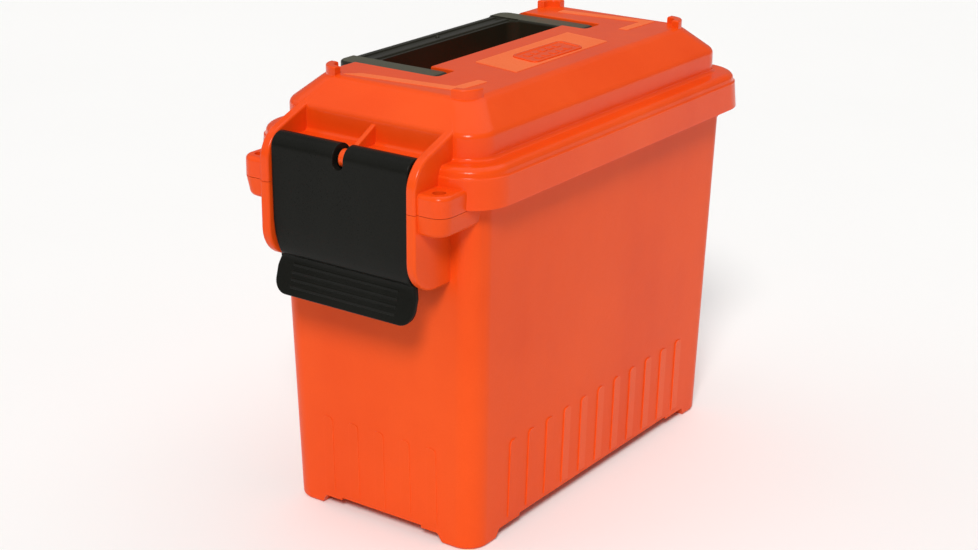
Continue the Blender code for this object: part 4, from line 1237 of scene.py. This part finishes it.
def bailFrame():
    # a bar with an arm at each end, its round eyes and its sloping underside
    size = bailSizes
    low, high = handleLow.z, handleHigh.z
    pivotZ = hingeAt["handle_hinge"].z
    bail = startBox("bail", (size["out"], midY - size["armOut"], low), (0, midY + size["armOut"], high))
    roundEdges(bail, lambda edge: along(edge, 2) and near(middle(edge).x, size["out"]), size["corner"], 8)
    opening = startBox(
        "opening", (size["in"], midY - size["armIn"], low - 5 * mm),
        (30 * mm, midY + size["armIn"], high + 5 * mm),
    )
    roundEdges(opening, lambda edge: along(edge, 2) and near(middle(edge).x, size["in"]), size["corner"], 8)
    cutFrom(bail, opening)

    def onTop(edge):
        return near(middle(edge).z, high) and not (along(edge, 1) and middle(edge).x > -1 * mm)

    roundEdges(bail, onTop, size["edge"], 4)
    for end in (-1, 1):
        start = midY + end * (size["armIn"] + size["eyeIn"])
        stop = midY + end * (size["armOut"] - size["eyeIn"])
        eye = startRod("eye", size["eye"] - size["eyeIn"], (0, start, pivotZ), (0, stop, pivotZ), 48)
        roundEdges(eye, lambda edge: not along(edge, 1), size["edge"], 4)
        addTo(bail, eye)
    eyeLow = pivotZ - size["eye"]
    under = startBox(
        "under", (size["underFrom"], midY - 100 * mm, low - 1 * mm), (1 * mm, midY + 100 * mm, eyeLow)
    )
    moveCorners(
        under, lambda corner: near(corner.co.x, size["underFrom"]) and near(corner.co.z, eyeLow),
        (size["underTo"] - size["underFrom"], 0, 0),
    )
    cutFrom(bail, under)
    return bail


def addGrip(bail):
    # the sunk top of the bar, its two bands and the mould's pip
    size = bailSizes
    high = handleHigh.z
    floor = high - size["step"]
    dipY = size["armIn"] + size["dipEnd"]
    dip = startBox(
        "dip", (-70 * mm, midY - dipY, floor), (size["in"] + size["dipIn"], midY + dipY, high + 6 * mm)
    )
    roundEdges(dip, lambda edge: along(edge, 0) and middle(edge).z < high, size["dipRound"])
    cutFrom(bail, dip)
    bandY, bandTop = size["armIn"] + size["bandEnd"], floor + size["bandProud"]
    for left, right in size["bands"]:
        low = (left * mm, midY - bandY, high - size["bandRoot"])
        band = startBox("band", low, (right * mm, midY + bandY, bandTop))
        roundEdges(
            band, lambda edge: along(edge, 1) and near(middle(edge).z, bandTop), size["bandRound"], 4
        )
        addTo(bail, band)
    clearChoice()
    pipX, pipY = size["pip"]
    bpy.ops.mesh.primitive_uv_sphere_add(
        segments=20, ring_count=12, radius=size["pipRadius"], location=(pipX * mm, midY + pipY * mm, floor)
    )
    addTo(bail, applyPlace(bpy.context.object))


def hollowBail(bail):
    # open from below, in the bar and in each arm
    size = bailSizes
    wall = size["wall"]
    low, top = handleLow.z - 5 * mm, handleHigh.z - wall - size["step"]
    armX, reach = size["in"] - wall, size["armOut"] - wall
    cutFrom(bail, startBox("hollow", (size["out"] + wall, midY - reach, low), (armX, midY + reach, top)))
    for end in (-1, 1):
        y0, y1 = midY + end * (size["armIn"] + wall), midY + end * reach
        hollow = startBox(
            "hollow", (armX - 1 * mm, min(y0, y1), low), (size["armHollow"], max(y0, y1), top - 0.2 * mm)
        )
        cutFrom(bail, hollow)


def makeHandle(finish, glossAndSheen):
    size = bailSizes
    pivotZ = hingeAt["handle_hinge"].z
    bail = bailFrame()
    addGrip(bail)
    hollowBail(bail)
    pins = []
    for end in (-1, 1):
        start = midY + end * (size["armOut"] - size["trunnionIn"])
        stop = midY + end * (size["armOut"] + size["trunnionOut"])
        pins.append(startRod("trunnion", size["trunnion"], (0, start, pivotZ), (0, stop, pivotZ), 32))
    bail = joinInto(bail, pins)
    sheenMark = handleHigh.z - 0.2 * mm  # the flat top faces round the grip get a glossier finish and a lighter olive colour, a painted sheen
    colourFaces(bail, (finish, glossAndSheen), lambda face: face.normal.z > 0.97 and face.center.z > sheenMark)
    finishMesh(bail)
    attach(bail, "handle")
    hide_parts("carry_handle")
    print("handle made:", len(bail.data.polygons), "faces")


# angles in degrees, place in metres, lens in millimetres
cameraSetup = {"turn": 35.05, "up": 19.94, "roll": 0.50, "place": (0.5017, -0.73145, 0.4172), "lens": 69.06}


def makeCamera():
    turn, up, roll = (math.radians(cameraSetup[name]) for name in ("turn", "up", "roll"))
    forward = -Vector((math.sin(turn) * math.cos(up), -math.cos(turn) * math.cos(up), math.sin(up)))
    right = forward.cross(Vector((0, 0, 1))).normalized()
    above = right.cross(forward)
    cameraX = right * math.cos(roll) + above * math.sin(roll)
    cameraY = -right * math.sin(roll) + above * math.cos(roll)
    bpy.ops.object.camera_add(location=cameraSetup["place"])
    camera = bpy.context.object
    camera.rotation_euler = Matrix((cameraX, cameraY, -forward)).transposed().to_euler()
    camera.data.lens = cameraSetup["lens"]
    scene.camera = camera


# direction each comes from, strength, angle across in degrees, colour
lamps = (
    ((0.36, -0.65, 0.669), 2.25, 16, (1.0, 0.985, 0.955)),
    ((0.05, 0.25, 1.0), 0.9, 70, (1.0, 1.0, 1.0)),
    ((-0.8, -0.35, 0.6), 0.35, 60, (1.0, 1.0, 1.0)),
)
skyStrength = 0.22


def makeLight():
    for direction, strength, across, colour in lamps:
        bpy.ops.object.light_add(type="SUN", location=direction)
        lamp = bpy.context.object
        lamp.data.energy = strength
        lamp.data.angle = math.radians(across)
        lamp.data.color = colour
        lamp.rotation_euler = (-Vector(direction)).to_track_quat("-Z", "Y").to_euler()
    world = bpy.data.worlds.new("studio")
    scene.world = world
    world.use_nodes = True
    background = world.node_tree.nodes["Background"]
    background.inputs[0].default_value = (1, 1, 1, 1)
    background.inputs[1].default_value = skyStrength


def makeFloor():
    bpy.ops.mesh.primitive_plane_add(size=8)
    floor = bpy.context.object
    floor.name = "floor"
    made, tree, shader = newMaterial("pale floor")
    cloud = noise(tree, objectCoords(tree), 3, 3)
    colour = mixColour(tree, cloud, (0.93, 0.93, 0.93), (0.96, 0.96, 0.96))
    tree.links.new(colour, shader.inputs["Base Color"])
    shader.inputs["Roughness"].default_value = 0.9
    floor.data.materials.append(made)
    print("camera, light and floor set")


makeCamera()
makeLight()
makeFloor()
orange = mouldedPlastic("orange moulded plastic", tubLook)
orangeGloss = mouldedPlastic("orange glossy plastic", lidLook)
# textured panels: real grain and roughness, with a paler colour that is painted haze
orangeTextured = mouldedPlastic("orange textured panel with painted haze", texturedHazeLook)
blackHandle = mouldedPlastic("black handle plastic", handleLook)
# the rear ribs' raised faces get a painted highlight
makeTub(orange, mouldedPlastic("orange ribs with painted highlight", ribLightLook))
makeLid(orangeGloss, orangeTextured)
makeLatch(mouldedPlastic("black satin plastic", blackLook))
# the handle's flat top takes a painted sheen
makeHandle(blackHandle, mouldedPlastic("black glossy top with painted sheen", topSheenLook))
frame["nodes"]["lid_seal"].data.materials[0] = rubberMaterial()
steel = steelMaterial()
for node in ("hinge_pin_left", "hinge_pin_right"):
    frame["nodes"][node].data.materials[0] = steel
print("seal and hinge pins given their materials")
